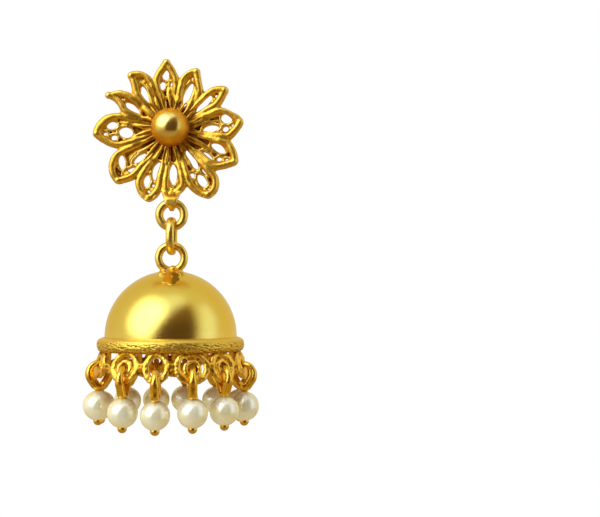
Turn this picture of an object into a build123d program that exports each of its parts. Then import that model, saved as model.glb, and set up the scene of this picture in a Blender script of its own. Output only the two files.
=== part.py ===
from build123d import *
import math
import os
from collections import namedtuple

# Jhumka earring, millimetres, +Z up. The flower faces -Y and the ear post points to +Y. The origin is
# on the flower's flat back, where the post leaves it and the ear lobe lies against it.

# ---------------------------------------------------------------- driving dimensions
FLOWER_PLATE = 0.9  # thickness of the pierced plate
FLOWER_BORDER_HEIGHT = 1.6  # back of the flower to the top of the raised borders
BORDER_WIDTH = 0.8
RIB_ROOT_HALF = 0.28  # ribs between petals, half width at the hub
RIB_END_HALF = 0.45  # and at the notch between two petals
HUB_RADIUS = 2.9

BALL_RADIUS = 2.75
BALL_CENTRE_Y = -2.2

POST_RADIUS = 0.425
POST_LENGTH = 10.5

DROP_X = 0.16  # everything below the flower hangs on this line, a little off the flower's centre
DROP_Y = -1.3
LINK_GAP = 0.06  # between wires that hang on each other

LUG_HALF_WIDTH = 0.62
LUG_HOLE_RADIUS = 0.82
LUG_WALL = 0.44
LUG_NECK_TOP_Z = -8.2
LUG_NECK_HALF_TOP = 1.75

JUMP_RING_MAJOR = 1.77
JUMP_RING_WIRE = 0.6  # wire radius
JUMP_RING_Z = -12.45

LINK_HALF_THICK = 0.42  # the link's oval wire, in the link's plane
LINK_HALF_WIDE = 0.6  # and across it
LINK_WIDTH = 4.75  # outside, front to back

DOME_RING_MAJOR = 1.83
DOME_RING_WIRE = 0.56
DOME_RING_Z = -18.6

DOME_RADIUS = 9.35
DOME_WALL = 0.5
DOME_CENTRE_Z = -29.8
DOME_SKIRT = 1.35  # straight wall below the half sphere, inside the rim band
PAD_RADIUS = 1.5  # solder pad under the ring
PAD_TOP_Z = -20.3
GRANULE_RADIUS = 0.55
GRANULE_AT = (DROP_X + 0.3, DROP_Y - 1.2, -20.2)

RIM_RADIUS = 10.48
RIM_TOP_Z = -29.9
RIM_BOTTOM_Z = -31.8
RIM_LIP_RADIUS = 8.9
RIM_GAP = 0.03

LOOP_TOP_RADIUS = 9.65  # where the loops leave the underside of the rim
LOOP_FLARE = 15.0  # degrees outward from the vertical
LOOP_BAND = 0.75  # width of the band seen from the front
LOOP_DEPTH = 0.7
LOOP_WAIST = 2.0  # depth below the rim where a loop is widest
LOOP_APEX = 0.5  # how far the pointed top runs on into the solder
INNER_RING_RADIUS = 1.32
INNER_RING_WIRE = 0.37
SADDLE_RADIUS = 0.75  # solder in the foot of a loop that has no inner ring
SOLDER_SINK = 0.08  # how deep soldered wires run into each other
BAR_RADIUS = 0.5  # solder bars between neighbouring loops

EYE_WIRE = 0.42
EYE_TOP_RADIUS = 1.43  # centre line of the wide top of the pear-shaped eye
EYE_BOTTOM_RADIUS = 0.62
EYE_HEIGHT = 3.35  # centre line, top to bottom
EYE_SLACK = 0.17  # room over the wire that the eye hangs on
SHANK_RADIUS = 0.4
DRILL_RADIUS = 0.43
BALL_END_RADIUS = 0.65
PEARL_BELOW_EYE = 0.04
BALL_END_BELOW_PEARL = 0.02  # ball end's centre below the pearl
DIMPLE_GAP = 0.03

# ---------------------------------------------------------------- petals, anticlockwise from three o'clock
# Each point is (degrees, distance from the flower's centre). A petal's outline runs from the notch
# before it through its near side to the tip, and back through its far side to the next notch.
Petal = namedtuple("Petal", "notch near tip far tip_round openings")
# out: along the petal from the flower's centre; side: across it, anticlockwise positive;
# lean: degrees that the opening is turned from the petal's own line
Opening = namedtuple("Opening", "out side length width lean")

PETALS = [
    Petal((349.3, 8.6), (357.4, 9.6), (5.8, 10.6), (16.2, 9.2), 0.7, [
        Opening(5.7, -0.5, 2.6, 1.1, 4), Opening(8.1, 0.7, 1.6, 1.4, -26),
        Opening(7.8, -0.8, 1.0, 0.9, 0), Opening(9.0, -0.4, 0.7, 0.6, 0)]),
    Petal((25.1, 7.7), (30.1, 8.8), (35.1, 10.2), (43.8, 8.9), 0.4, [
        Opening(6.0, 0.3, 3.9, 1.1, 13), Opening(8.0, 0.2, 0.7, 0.5, 10)]),
    Petal((48.4, 7.1), (58.2, 8.2), (65.3, 9.7), (74.3, 8.9), 0.4, [
        Opening(5.5, -0.1, 3.9, 1.2, 5), Opening(7.9, 0.3, 0.6, 0.45, 0)]),
    Petal((81.3, 7.4), (87.4, 8.8), (94.1, 10.4), (101.7, 9.0), 0.5, [
        Opening(8.2, 0.3, 2.4, 1.1, -4), Opening(6.4, 0.9, 1.4, 0.9, -14),
        Opening(6.4, -0.6, 1.0, 0.6, 0), Opening(5.0, -0.1, 1.3, 0.35, -4)]),
    Petal((110.2, 7.8), (116.4, 9.4), (129.8, 10.2), (132.2, 8.7), 0.45, [
        Opening(6.0, -0.1, 3.7, 1.1, -20), Opening(8.2, -1.2, 0.7, 0.45, 20)]),
    Petal((138.3, 7.5), (142.4, 9.3), (154.4, 10.8), (154.8, 8.9), 0.45, [
        Opening(6.3, -0.2, 3.1, 1.1, -17), Opening(8.2, -0.8, 0.7, 0.45, 6)]),
    Petal((161.7, 7.7), (171.0, 10.0), (184.4, 11.4), (192.3, 9.9), 0.7, [
        Opening(6.6, 0.0, 2.1, 1.5, -19), Opening(8.5, -1.2, 1.7, 1.1, 6),
        Opening(9.6, 0.0, 0.7, 0.6, 0), Opening(8.3, 0.6, 1.0, 0.8, 0)]),
    Petal((200.7, 8.1), (209.9, 10.4), (226.0, 11.2), (230.9, 9.8), 0.9, [
        Opening(8.4, -1.8, 2.2, 1.0, 49), Opening(6.2, -0.3, 2.6, 0.9, -8),
        Opening(8.1, 0.1, 2.3, 0.7, -28), Opening(9.3, -0.1, 0.9, 0.5, -46)]),
    Petal((234.5, 8.8), (241.5, 10.3), (253.0, 11.1), (258.2, 10.0), 0.9, [
        Opening(6.4, -0.2, 2.9, 1.2, 0), Opening(8.2, -1.1, 1.9, 1.1, 2),
        Opening(8.6, 0.0, 0.7, 0.5, 70), Opening(9.6, -0.4, 0.7, 0.5, 70)]),
    Petal((261.3, 8.7), (265.1, 9.5), (271.4, 10.3), (278.6, 9.4), 0.5, [
        Opening(6.6, 0.1, 3.2, 1.2, 0)]),
    Petal((285.5, 8.5), (290.6, 10.1), (298.3, 11.4), (310.7, 10.6), 0.9, [
        Opening(5.3, 0.5, 3.6, 1.0, 4), Opening(8.7, 0.4, 2.3, 1.2, 7),
        Opening(7.8, 1.5, 1.6, 0.8, 20), Opening(7.4, -0.5, 1.0, 0.7, 22),
        Opening(10.3, 0.6, 0.7, 0.65, 60)]),
    Petal((315.8, 8.6), (323.3, 9.6), (332.5, 10.9), (341.4, 9.9), 0.8, [
        Opening(7.3, 0.7, 2.5, 1.1, -4), Opening(6.3, -1.1, 2.4, 0.8, -6),
        Opening(8.2, -0.7, 0.75, 0.65, 28), Opening(9.3, -0.3, 0.8, 0.6, 28)]),
]

# ---------------------------------------------------------------- drops, anticlockwise seen from above
# azimuth: degrees from the front (-Y) towards +X; width and height: of the soldered loop; ringed:
# whether a small ring is soldered inside the loop; reach: of the eye from the dome's axis; twist: of
# the eye from the radial plane; lean: of the drop to the side; pearl: diameter
Drop = namedtuple("Drop", "azimuth width height ringed reach twist lean pearl")
DROPS = [
    Drop(-66, 4.4, 3.6, True, 10.4, 6, 1.0, 4.15),
    Drop(-30, 4.6, 4.15, True, 10.5, 18, 1.0, 4.1),
    Drop(-4, 3.6, 4.15, False, 10.5, 6, 0.5, 4.0),
    Drop(23, 5.0, 4.15, True, 10.5, -17, 0.0, 4.1),
    Drop(50, 4.5, 4.15, True, 10.5, -18, -1.0, 4.05),
    Drop(80, 4.3, 3.95, True, 10.7, -4, -1.0, 4.15),
    Drop(115, 4.6, 4.1, True, 10.5, 10, 1.5, 4.1),
    Drop(147, 4.4, 4.15, True, 10.5, -12, -1.0, 4.0),
    Drop(175.5, 4.3, 4.1, True, 10.55, 10, 0.0, 4.1),
    Drop(199, 3.9, 4.15, True, 10.5, -12, 0.0, 4.05),
    Drop(224, 4.4, 4.1, True, 10.5, 12, -1.0, 4.05),
    Drop(260, 4.7, 4.15, True, 10.5, -6, 1.0, 4.15),
]


def polar(point):
    """A point of the flower's own plane from (degrees, distance)."""
    angle, distance = math.radians(point[0]), point[1]
    return (distance * math.cos(angle), distance * math.sin(angle))


def facing_front(sketch):
    """Stands a sketch of the flower up in the XZ plane, so that extruding it goes to the front."""
    return Plane.XZ * sketch


# ---------------------------------------------------------------- flower
def petal_edges():
    """Two arcs a petal: from the notch before it to its tip, and on to the next notch."""
    edges = []
    for petal, following in zip(PETALS, PETALS[1:] + PETALS[:1]):
        edges.append(ThreePointArc(polar(petal.notch), polar(petal.near), polar(petal.tip)))
        edges.append(ThreePointArc(polar(petal.tip), polar(petal.far), polar(following.notch)))
    return edges


def flower_outline():
    """The flower's outer edge, with rounded tips."""
    outline = make_face(Wire(petal_edges()))
    for petal in PETALS:
        tip = Vector(*polar(petal.tip))
        corner = min(outline.vertices(), key=lambda vertex: (Vector(*vertex) - tip).length)
        outline = fillet(corner, petal.tip_round)
    return outline


def pointed_oval(length, width):
    """Two arcs that meet in a point at each end."""
    start, end = (-length / 2, 0), (length / 2, 0)
    return make_face(Wire([
        ThreePointArc(start, (0, -width / 2), end),
        ThreePointArc(end, (0, width / 2), start),
    ]))


def petal_openings():
    """Every hole through the flower, as one flat sketch."""
    holes = []
    for petal in PETALS:
        angle = petal.tip[0]
        for hole in petal.openings:
            place = Rot(0, 0, angle) * Pos(hole.out, hole.side) * Rot(0, 0, hole.lean)
            holes.append(place * pointed_oval(hole.length, hole.width))
    return Sketch() + holes


def ribs():
    """The raised ribs that run from the hub to the notches between petals."""
    bars = []
    for petal in PETALS:
        length = petal.notch[1] - BORDER_WIDTH / 2
        bar = make_face(Polyline(
            (HUB_RADIUS, -RIB_ROOT_HALF), (length, -RIB_END_HALF),
            (length, RIB_END_HALF), (HUB_RADIUS, RIB_ROOT_HALF), close=True))
        bars.append(Rot(0, 0, petal.notch[0]) * bar)
    return Sketch() + bars


def lug_eye(radius, length):
    """A cylinder along X where the jump ring's wire rests in the lug."""
    return Pos(DROP_X, DROP_Y, JUMP_RING_Z + JUMP_RING_MAJOR) * Rot(0, 90, 0) * Cylinder(radius, length)


def lug():
    """The tongue under the lowest petal that ends in an eye."""
    eye_radius = LUG_HOLE_RADIUS + LUG_WALL
    neck_low_z = JUMP_RING_Z + JUMP_RING_MAJOR + LUG_HOLE_RADIUS
    tongue = make_face(Polyline(
        (-LUG_NECK_HALF_TOP, LUG_NECK_TOP_Z), (LUG_NECK_HALF_TOP, LUG_NECK_TOP_Z),
        (LUG_HALF_WIDTH, neck_low_z), (-LUG_HALF_WIDTH, neck_low_z), close=True))
    neck = Pos(DROP_X, 0, 0) * extrude(facing_front(tongue), eye_radius / 2 - DROP_Y)
    return lug_eye(eye_radius, 2 * LUG_HALF_WIDTH) + neck


def borders(outline):
    """The band along the inside of the flower's outer edge, rounded where two petals meet."""
    bands = [trace(edge, 2 * BORDER_WIDTH) for edge in petal_edges()]
    corners = [Pos(*polar(petal.notch)) * Circle(BORDER_WIDTH) for petal in PETALS]
    return outline & (Sketch() + bands + corners)


def flower():
    """A pierced plate with raised borders and ribs, and the lug, as one solid."""
    outline = flower_outline()
    plate = extrude(facing_front(outline), FLOWER_PLATE)
    raised = extrude(facing_front(borders(outline) + ribs()), FLOWER_BORDER_HEIGHT)
    openings = Pos(0, 1, 0) * extrude(facing_front(petal_openings()), FLOWER_BORDER_HEIGHT + 2)
    bore = lug_eye(LUG_HOLE_RADIUS, 8 * LUG_HALF_WIDTH)
    return plate + raised - openings + lug() - bore


def centre_ball():
    """Ball with a flat seat on the flower's plate."""
    ball = Pos(0, BALL_CENTRE_Y, 0) * Sphere(BALL_RADIUS)
    front = Pos(0, -FLOWER_PLATE - BALL_RADIUS * 2, 0) * Box(*[4 * BALL_RADIUS] * 3)
    return ball & front


def ear_post():
    straight = POST_LENGTH - POST_RADIUS
    shaft = Cylinder(POST_RADIUS, straight, align=(Align.CENTER, Align.CENTER, Align.MIN))
    return Rot(-90, 0, 0) * (shaft + Pos(0, 0, straight) * Sphere(POST_RADIUS))


# ---------------------------------------------------------------- rings and link
def ring_facing_front(major, wire):
    return Rot(90, 0, 0) * Torus(major, wire)


def jump_ring():
    return Pos(DROP_X, DROP_Y, JUMP_RING_Z) * ring_facing_front(JUMP_RING_MAJOR, JUMP_RING_WIRE)


def pear_loop(top_radius, bottom_radius, height, half_thick, half_wide):
    """A closed loop of wire in the YZ plane, its centre line's top at the origin: a wide arc above
    and a narrower one below, joined by their straight tangents."""
    upper, lower = -top_radius, bottom_radius - height
    slope = math.asin((top_radius - bottom_radius) / (upper - lower))
    out, rise = math.cos(slope), math.sin(slope)
    high = (top_radius * out, upper - top_radius * rise)
    low = (bottom_radius * out, lower - bottom_radius * rise)
    path = Wire([
        ThreePointArc(high, (0, 0), (-high[0], high[1])),
        Line((-high[0], high[1]), (-low[0], low[1])),
        ThreePointArc((-low[0], low[1]), (0, -height), low),
        Line(low, high),
    ])
    section = Plane(origin=path @ 0, x_dir=(0, 0, 1), z_dir=path % 0) * Ellipse(half_wide, half_thick)
    return Plane.YZ * sweep(section, path)


def connecting_link():
    """The oval between the two rings, as tall as their wires need."""
    top = JUMP_RING_Z - JUMP_RING_MAJOR + JUMP_RING_WIRE + LINK_GAP + LINK_HALF_THICK
    bottom = DOME_RING_Z + DOME_RING_MAJOR - DOME_RING_WIRE - LINK_GAP - LINK_HALF_THICK
    end_radius = LINK_WIDTH / 2 - LINK_HALF_THICK
    link = pear_loop(end_radius, end_radius, top - bottom, LINK_HALF_THICK, LINK_HALF_WIDE)
    return Pos(DROP_X, DROP_Y, top) * link


def dome_ring():
    """The ring on the dome, its foot filed flat on the solder pad."""
    ring = Pos(DROP_X, DROP_Y, DOME_RING_Z) * ring_facing_front(DOME_RING_MAJOR, DOME_RING_WIRE)
    above_pad = Pos(DROP_X, DROP_Y, PAD_TOP_Z + 5) * Box(10, 10, 10)
    return ring & above_pad


# ---------------------------------------------------------------- dome and rim
def turned(profile):
    """A profile of (distance from the dome's axis, height) turned about that axis."""
    return Pos(DROP_X, DROP_Y, 0) * revolve(Plane.XZ * profile, Axis.Z)


def arc_height(radius, share):
    """Point on the dome's profile at a share of a quarter turn up from its widest part."""
    angle = math.radians(90 * share)
    return (radius * math.cos(angle), DOME_CENTRE_Z + radius * math.sin(angle))


def dome():
    inner = DOME_RADIUS - DOME_WALL
    edge_z = DOME_CENTRE_Z - DOME_SKIRT
    profile = make_face(Wire([
        ThreePointArc(arc_height(DOME_RADIUS, 1), arc_height(DOME_RADIUS, 0.5), arc_height(DOME_RADIUS, 0)),
        Line((DOME_RADIUS, DOME_CENTRE_Z), (DOME_RADIUS, edge_z)),
        Line((DOME_RADIUS, edge_z), (inner, edge_z)),
        Line((inner, edge_z), (inner, DOME_CENTRE_Z)),
        ThreePointArc(arc_height(inner, 0), arc_height(inner, 0.5), arc_height(inner, 1)),
        Line(arc_height(inner, 1), arc_height(DOME_RADIUS, 1)),
    ]))
    pad_height = PAD_TOP_Z - (DOME_CENTRE_Z + DOME_RADIUS - DOME_WALL / 2)
    pad = Pos(DROP_X, DROP_Y, PAD_TOP_Z) * Cylinder(
        PAD_RADIUS, pad_height, align=(Align.CENTER, Align.CENTER, Align.MAX))
    granule = Pos(*GRANULE_AT) * Sphere(GRANULE_RADIUS)
    return turned(profile) + pad + granule


def rim_band():
    """The heavy band round the dome's mouth. The dome's edge stands on its inner lip."""
    seat = DOME_RADIUS + RIM_GAP
    lip_top = DOME_CENTRE_Z - DOME_SKIRT
    shoulder, foot = (RIM_RADIUS - 0.6, RIM_TOP_Z), (RIM_RADIUS - 0.3, RIM_BOTTOM_Z)
    belly = (RIM_RADIUS, (RIM_TOP_Z + RIM_BOTTOM_Z) / 2 - 0.15)
    profile = make_face(Wire([
        Line((RIM_LIP_RADIUS, RIM_BOTTOM_Z), foot),
        ThreePointArc(foot, belly, shoulder),
        Line(shoulder, (seat, RIM_TOP_Z)),
        Line((seat, RIM_TOP_Z), (seat, lip_top)),
        Line((seat, lip_top), (RIM_LIP_RADIUS, lip_top)),
        Line((RIM_LIP_RADIUS, lip_top), (RIM_LIP_RADIUS, RIM_BOTTOM_Z)),
    ]))
    return turned(profile)


# ---------------------------------------------------------------- fringe of soldered loops
def onion(half_width, apex, bottom):
    """An outline pointed above, widest at the waist and half an ellipse below."""
    waist = (0, -LOOP_WAIST)
    left, right, top = (-half_width, -LOOP_WAIST), (half_width, -LOOP_WAIST), (0, apex)
    return make_face(Wire([
        EllipticalCenterArc(waist, half_width, -LOOP_WAIST - bottom, 180, arc_size=180),
        TangentArc(right, top, tangent=(0, 1)),
        TangentArc(left, top, tangent=(0, 1)),
    ]))


def at_rim(azimuth):
    """The frame of a loop: X along the rim, Y up the loop's flared plane, Z inward."""
    return Pos(DROP_X, DROP_Y, RIM_BOTTOM_Z) * Rot(0, 0, azimuth) * Pos(0, -LOOP_TOP_RADIUS, 0) * Rot(
        90 - LOOP_FLARE, 0, 0)


def hook_depth(drop):
    """How far down the loop's plane the wire lies that the drop hangs on."""
    if drop.ringed:
        return drop.height - LOOP_BAND - 2 * INNER_RING_WIRE + SOLDER_SINK
    return drop.height - LOOP_BAND / 2 - SADDLE_RADIUS


def loop(drop):
    half = drop.width / 2
    band = onion(half, LOOP_APEX, -drop.height) - onion(
        half - LOOP_BAND, LOOP_APEX - 1.6 * LOOP_BAND, LOOP_BAND - drop.height)
    solid = Pos(0, 0, -LOOP_DEPTH / 2) * extrude(band, LOOP_DEPTH)
    if drop.ringed:
        centre = INNER_RING_RADIUS - drop.height + LOOP_BAND - SOLDER_SINK
        solid += Pos(0, centre, 0) * Torus(INNER_RING_RADIUS - INNER_RING_WIRE, INNER_RING_WIRE)
    else:
        solid += Pos(0, LOOP_BAND / 2 - drop.height, 0) * Cylinder(SADDLE_RADIUS, LOOP_DEPTH)
    return at_rim(drop.azimuth) * solid


def solder_bar(drop, following):
    """A bar at the waist that joins a loop to the next one."""
    start = (at_rim(drop.azimuth) * Pos(drop.width / 2 - LOOP_BAND / 2, -LOOP_WAIST, 0)).position
    end = (at_rim(following.azimuth) * Pos(LOOP_BAND / 2 - following.width / 2, -LOOP_WAIST, 0)).position
    return Plane(origin=start, z_dir=end - start) * Cylinder(
        BAR_RADIUS, (end - start).length, align=(Align.CENTER, Align.CENTER, Align.MIN))


def loop_fringe():
    """Twelve loops soldered to each other, cut off flat where they meet the rim."""
    fringe = Part() + [loop(drop) for drop in DROPS]
    fringe += [solder_bar(drop, following) for drop, following in zip(DROPS, DROPS[1:] + DROPS[:1])]
    below_rim = Pos(DROP_X, DROP_Y, RIM_BOTTOM_Z) * Box(
        4 * RIM_RADIUS, 4 * RIM_RADIUS, 20, align=(Align.CENTER, Align.CENTER, Align.MAX))
    return fringe & below_rim


# ---------------------------------------------------------------- drops
def hung(drop, solid):
    """Places a drop that is modelled hanging from the origin: the eye's centre line starts there."""
    hook_z = RIM_BOTTOM_Z - hook_depth(drop) * math.cos(math.radians(LOOP_FLARE))
    eye_top_z = hook_z + EYE_SLACK + EYE_WIRE
    return Pos(DROP_X, DROP_Y, eye_top_z) * Rot(0, 0, drop.azimuth) * Pos(
        0, -drop.reach, 0) * Rot(0, drop.lean, drop.twist) * solid


def pearl_centre(drop):
    return -EYE_HEIGHT - EYE_WIRE - PEARL_BELOW_EYE - drop.pearl / 2


def ball_end_centre(drop):
    return pearl_centre(drop) - drop.pearl / 2 - BALL_END_BELOW_PEARL


def drop_pin(drop):
    """One wire: an eye on top, a shank through the pearl and a ball melted on its end."""
    eye = pear_loop(EYE_TOP_RADIUS, EYE_BOTTOM_RADIUS, EYE_HEIGHT, EYE_WIRE, EYE_WIRE)
    length = -EYE_HEIGHT - ball_end_centre(drop)
    shank = Pos(0, 0, -EYE_HEIGHT) * Cylinder(
        SHANK_RADIUS, length, align=(Align.CENTER, Align.CENTER, Align.MAX))
    ball = Pos(0, 0, ball_end_centre(drop)) * Sphere(BALL_END_RADIUS)
    return hung(drop, eye + shank + ball)


def pearl(drop):
    """A drilled bead whose lower mouth is countersunk for the ball end."""
    bead = Pos(0, 0, pearl_centre(drop)) * Sphere(drop.pearl / 2)
    bore = Pos(0, 0, pearl_centre(drop)) * Cylinder(DRILL_RADIUS, 2 * drop.pearl)
    dimple = Pos(0, 0, ball_end_centre(drop)) * Sphere(BALL_END_RADIUS + DIMPLE_GAP)
    return hung(drop, bead - bore - dimple)


# ---------------------------------------------------------------- the whole earring
def nodes():
    pieces = {
        "flower": flower(),
        "centre_ball": centre_ball(),
        "ear_post": ear_post(),
        "jump_ring": jump_ring(),
        "connecting_link": connecting_link(),
        "dome_ring": dome_ring(),
        "dome": dome(),
        "rim_band": rim_band(),
        "loop_fringe": loop_fringe(),
    }
    for number, drop in enumerate(DROPS, start=1):
        pieces[f"drop_pin_{number:02d}"] = drop_pin(drop)
        pieces[f"pearl_{number:02d}"] = pearl(drop)
    return pieces


os.makedirs("parts", exist_ok=True)
for name, piece in nodes().items():
    export_step(piece, f"parts/{name}.step")
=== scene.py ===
"""Jhumka earring: a pierced flower stud, a short chain and a bell fringed with pearls.

Every size is in millimetres, except the finishes' scales and heights. A piece is brought to metres, in
its place, when it is finished.
"""
import logging
import math
from collections.abc import Callable, Sequence
from dataclasses import dataclass, field
from enum import Enum
from typing import NamedTuple

import bmesh
import bpy
import numpy as np
from bmesh.types import BMEdge, BMesh, BMVert
from bpy.types import Material, Node, NodeSocket
from mathutils import Matrix, Quaternion, Vector, noise


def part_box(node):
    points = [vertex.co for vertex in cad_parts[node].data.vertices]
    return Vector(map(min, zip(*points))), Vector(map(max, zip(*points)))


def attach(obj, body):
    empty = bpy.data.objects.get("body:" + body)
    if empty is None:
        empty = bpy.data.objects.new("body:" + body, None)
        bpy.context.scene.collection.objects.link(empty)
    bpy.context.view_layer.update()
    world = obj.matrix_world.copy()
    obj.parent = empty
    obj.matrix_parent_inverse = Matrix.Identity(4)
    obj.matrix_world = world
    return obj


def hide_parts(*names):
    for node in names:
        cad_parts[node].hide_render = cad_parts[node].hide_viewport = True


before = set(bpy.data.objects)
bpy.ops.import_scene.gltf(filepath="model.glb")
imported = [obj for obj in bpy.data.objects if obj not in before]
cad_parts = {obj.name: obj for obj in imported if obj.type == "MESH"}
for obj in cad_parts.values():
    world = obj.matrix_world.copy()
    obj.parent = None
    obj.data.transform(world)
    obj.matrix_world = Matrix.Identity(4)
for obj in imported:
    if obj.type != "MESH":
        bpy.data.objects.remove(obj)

LOG = logging.getLogger("earring")
METRES = 0.001
CHAIN_X, CHAIN_Y = 0.16, -1.3
RIGHT, FRONT, UP = Vector((1, 0, 0)), Vector((0, -1, 0)), Vector((0, 0, 1))
Colour = tuple[float, float, float]


class Body(Enum):
    """The moving bodies that pieces ride on."""

    STUD = "stud"
    JUMP_RING = "jump_ring"
    LINK = "connecting_link"
    DROP = "drop"


class Slot(Enum):
    """The material slots of the record."""

    SATIN = "gold_satin"
    WIRE = "gold_wire"
    BRIGHT = "gold_bright"
    PEARL = "pearl"


# --- shader tools
def sum_of(operation: str, swapped: bool = False) -> "Callable[..., Signal]":
    """Makes an operator for Signal.

    Args:
        operation: The Math node's operation.
        swapped: Whether the other value comes first.

    Returns:
        The method, which adds the node and gives its result.
    """
    def method(self: "Signal", *others: "Signal | float") -> "Signal":
        """The node's result."""
        terms = (*others, self) if swapped else (self, *others)
        return self.graph.signal("ShaderNodeMath", 0, {"operation": operation}, dict(enumerate(terms)))

    return method


class Signal:
    """A shader socket that carries a number and can be used in sums."""

    def __init__(self, graph: "Graph", socket: NodeSocket) -> None:
        """Wraps a socket of a graph."""
        self.graph, self.socket = graph, socket

    __add__, __radd__ = sum_of("ADD"), sum_of("ADD", True)
    __sub__, __rsub__ = sum_of("SUBTRACT"), sum_of("SUBTRACT", True)
    __mul__, __rmul__ = sum_of("MULTIPLY"), sum_of("MULTIPLY", True)
    __truediv__, __pow__ = sum_of("DIVIDE"), sum_of("POWER")
    __abs__, at_least = sum_of("ABSOLUTE"), sum_of("MAXIMUM")

    def step(self, low: float, high: float) -> "Signal":
        """A smooth rise from 0 at low to 1 at high.

        Args:
            low: Where the rise starts; above high for a fall.
            high: Where it ends.

        Returns:
            The eased value.
        """
        inputs = {"Value": self, "From Min": low, "From Max": high}
        if low > high:
            inputs |= {"From Min": high, "From Max": low, "To Min": 1.0, "To Max": 0.0}
        return self.graph.signal("ShaderNodeMapRange", "Result", {"interpolation_type": "SMOOTHSTEP"}, inputs)


class Graph:
    """The nodes of one material or world."""

    def __init__(self, owner: Material | bpy.types.World) -> None:
        """Clears the owner's nodes.

        Args:
            owner: The material or world.
        """
        owner.use_nodes = True
        self.tree = owner.node_tree
        self.tree.nodes.clear()

    def node(self, kind: str, settings: dict | None = None, inputs: dict | None = None) -> Node:
        """Adds any node.

        Args:
            kind: The node's type.
            settings: Its properties, set before its sockets.
            inputs: Values or links by socket name or number.

        Returns:
            The node.
        """
        made = self.tree.nodes.new(kind)
        for name, value in (settings or {}).items():
            setattr(made, name, value)
        for name, value in (inputs or {}).items():
            socket, source = made.inputs[name], getattr(value, "socket", value)
            if isinstance(source, NodeSocket):
                self.tree.links.new(source, socket)
            elif isinstance(source, tuple):
                socket.default_value = (*source, 1.0)[:len(socket.default_value)]
            else:
                socket.default_value = source
        return made

    def signal(self, kind: str, output: str | int, settings: dict | None, inputs: dict | None) -> Signal:
        """Adds a node and gives one of its outputs."""
        return Signal(self, self.node(kind, settings, inputs).outputs[output])

    def mix(self, amount: Signal, low: object, high: object, blend: str = "MIX") -> NodeSocket:
        """Mixes two colours or colour sockets, from low at 0 to high at 1."""
        settings = {"data_type": "RGBA", "blend_type": blend, "clamp_factor": True}
        return self.node("ShaderNodeMix", settings, {0: amount, 6: low, 7: high}).outputs[2]

    def grain(self, place: NodeSocket, scale: float, detail: float = 2.0, rough: float = 0.5) -> Signal:
        """Noise about zero, with its scale in lumps a metre."""
        inputs = {"Vector": place, "Scale": scale, "Detail": detail, "Roughness": rough}
        return self.signal("ShaderNodeTexNoise", "Fac", None, inputs) - 0.5

    def along(self, way: NodeSocket, axis: Vector) -> Signal:
        """How far a place or a direction lies along an axis."""
        inputs = {0: way, 1: tuple(axis)}
        return self.signal("ShaderNodeVectorMath", "Value", {"operation": "DOT_PRODUCT"}, inputs)

    def bump(self, height: Signal, distance: float, strength: float = 1.0,
             under: NodeSocket | None = None) -> NodeSocket:
        """A bumped normal, which may lie over another one."""
        inputs = {"Height": height, "Strength": strength, "Distance": distance}
        return self.node("ShaderNodeBump", None, inputs | ({"Normal": under} if under else {})).outputs[0]


# --- finishes
@dataclass(frozen=True)
class Finish:
    """A material, and the record's slot that it stands for."""

    name: str
    slot: Slot | None = None

    def make(self) -> Material:
        """Builds the material: one principled shader on the finish's own inputs.

        Returns:
            The material.
        """
        material = bpy.data.materials.new(self.name)
        graph = Graph(material)
        place = graph.node("ShaderNodeTexCoord").outputs["Object"]
        shader = graph.node("ShaderNodeBsdfPrincipled", None, self.inputs(graph, place))
        graph.node("ShaderNodeOutputMaterial", None, {"Surface": shader.outputs[0]})
        return material

    def inputs(self, graph: Graph, place: NodeSocket) -> dict:
        """The shader's inputs at a place of the piece."""
        raise NotImplementedError


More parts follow.
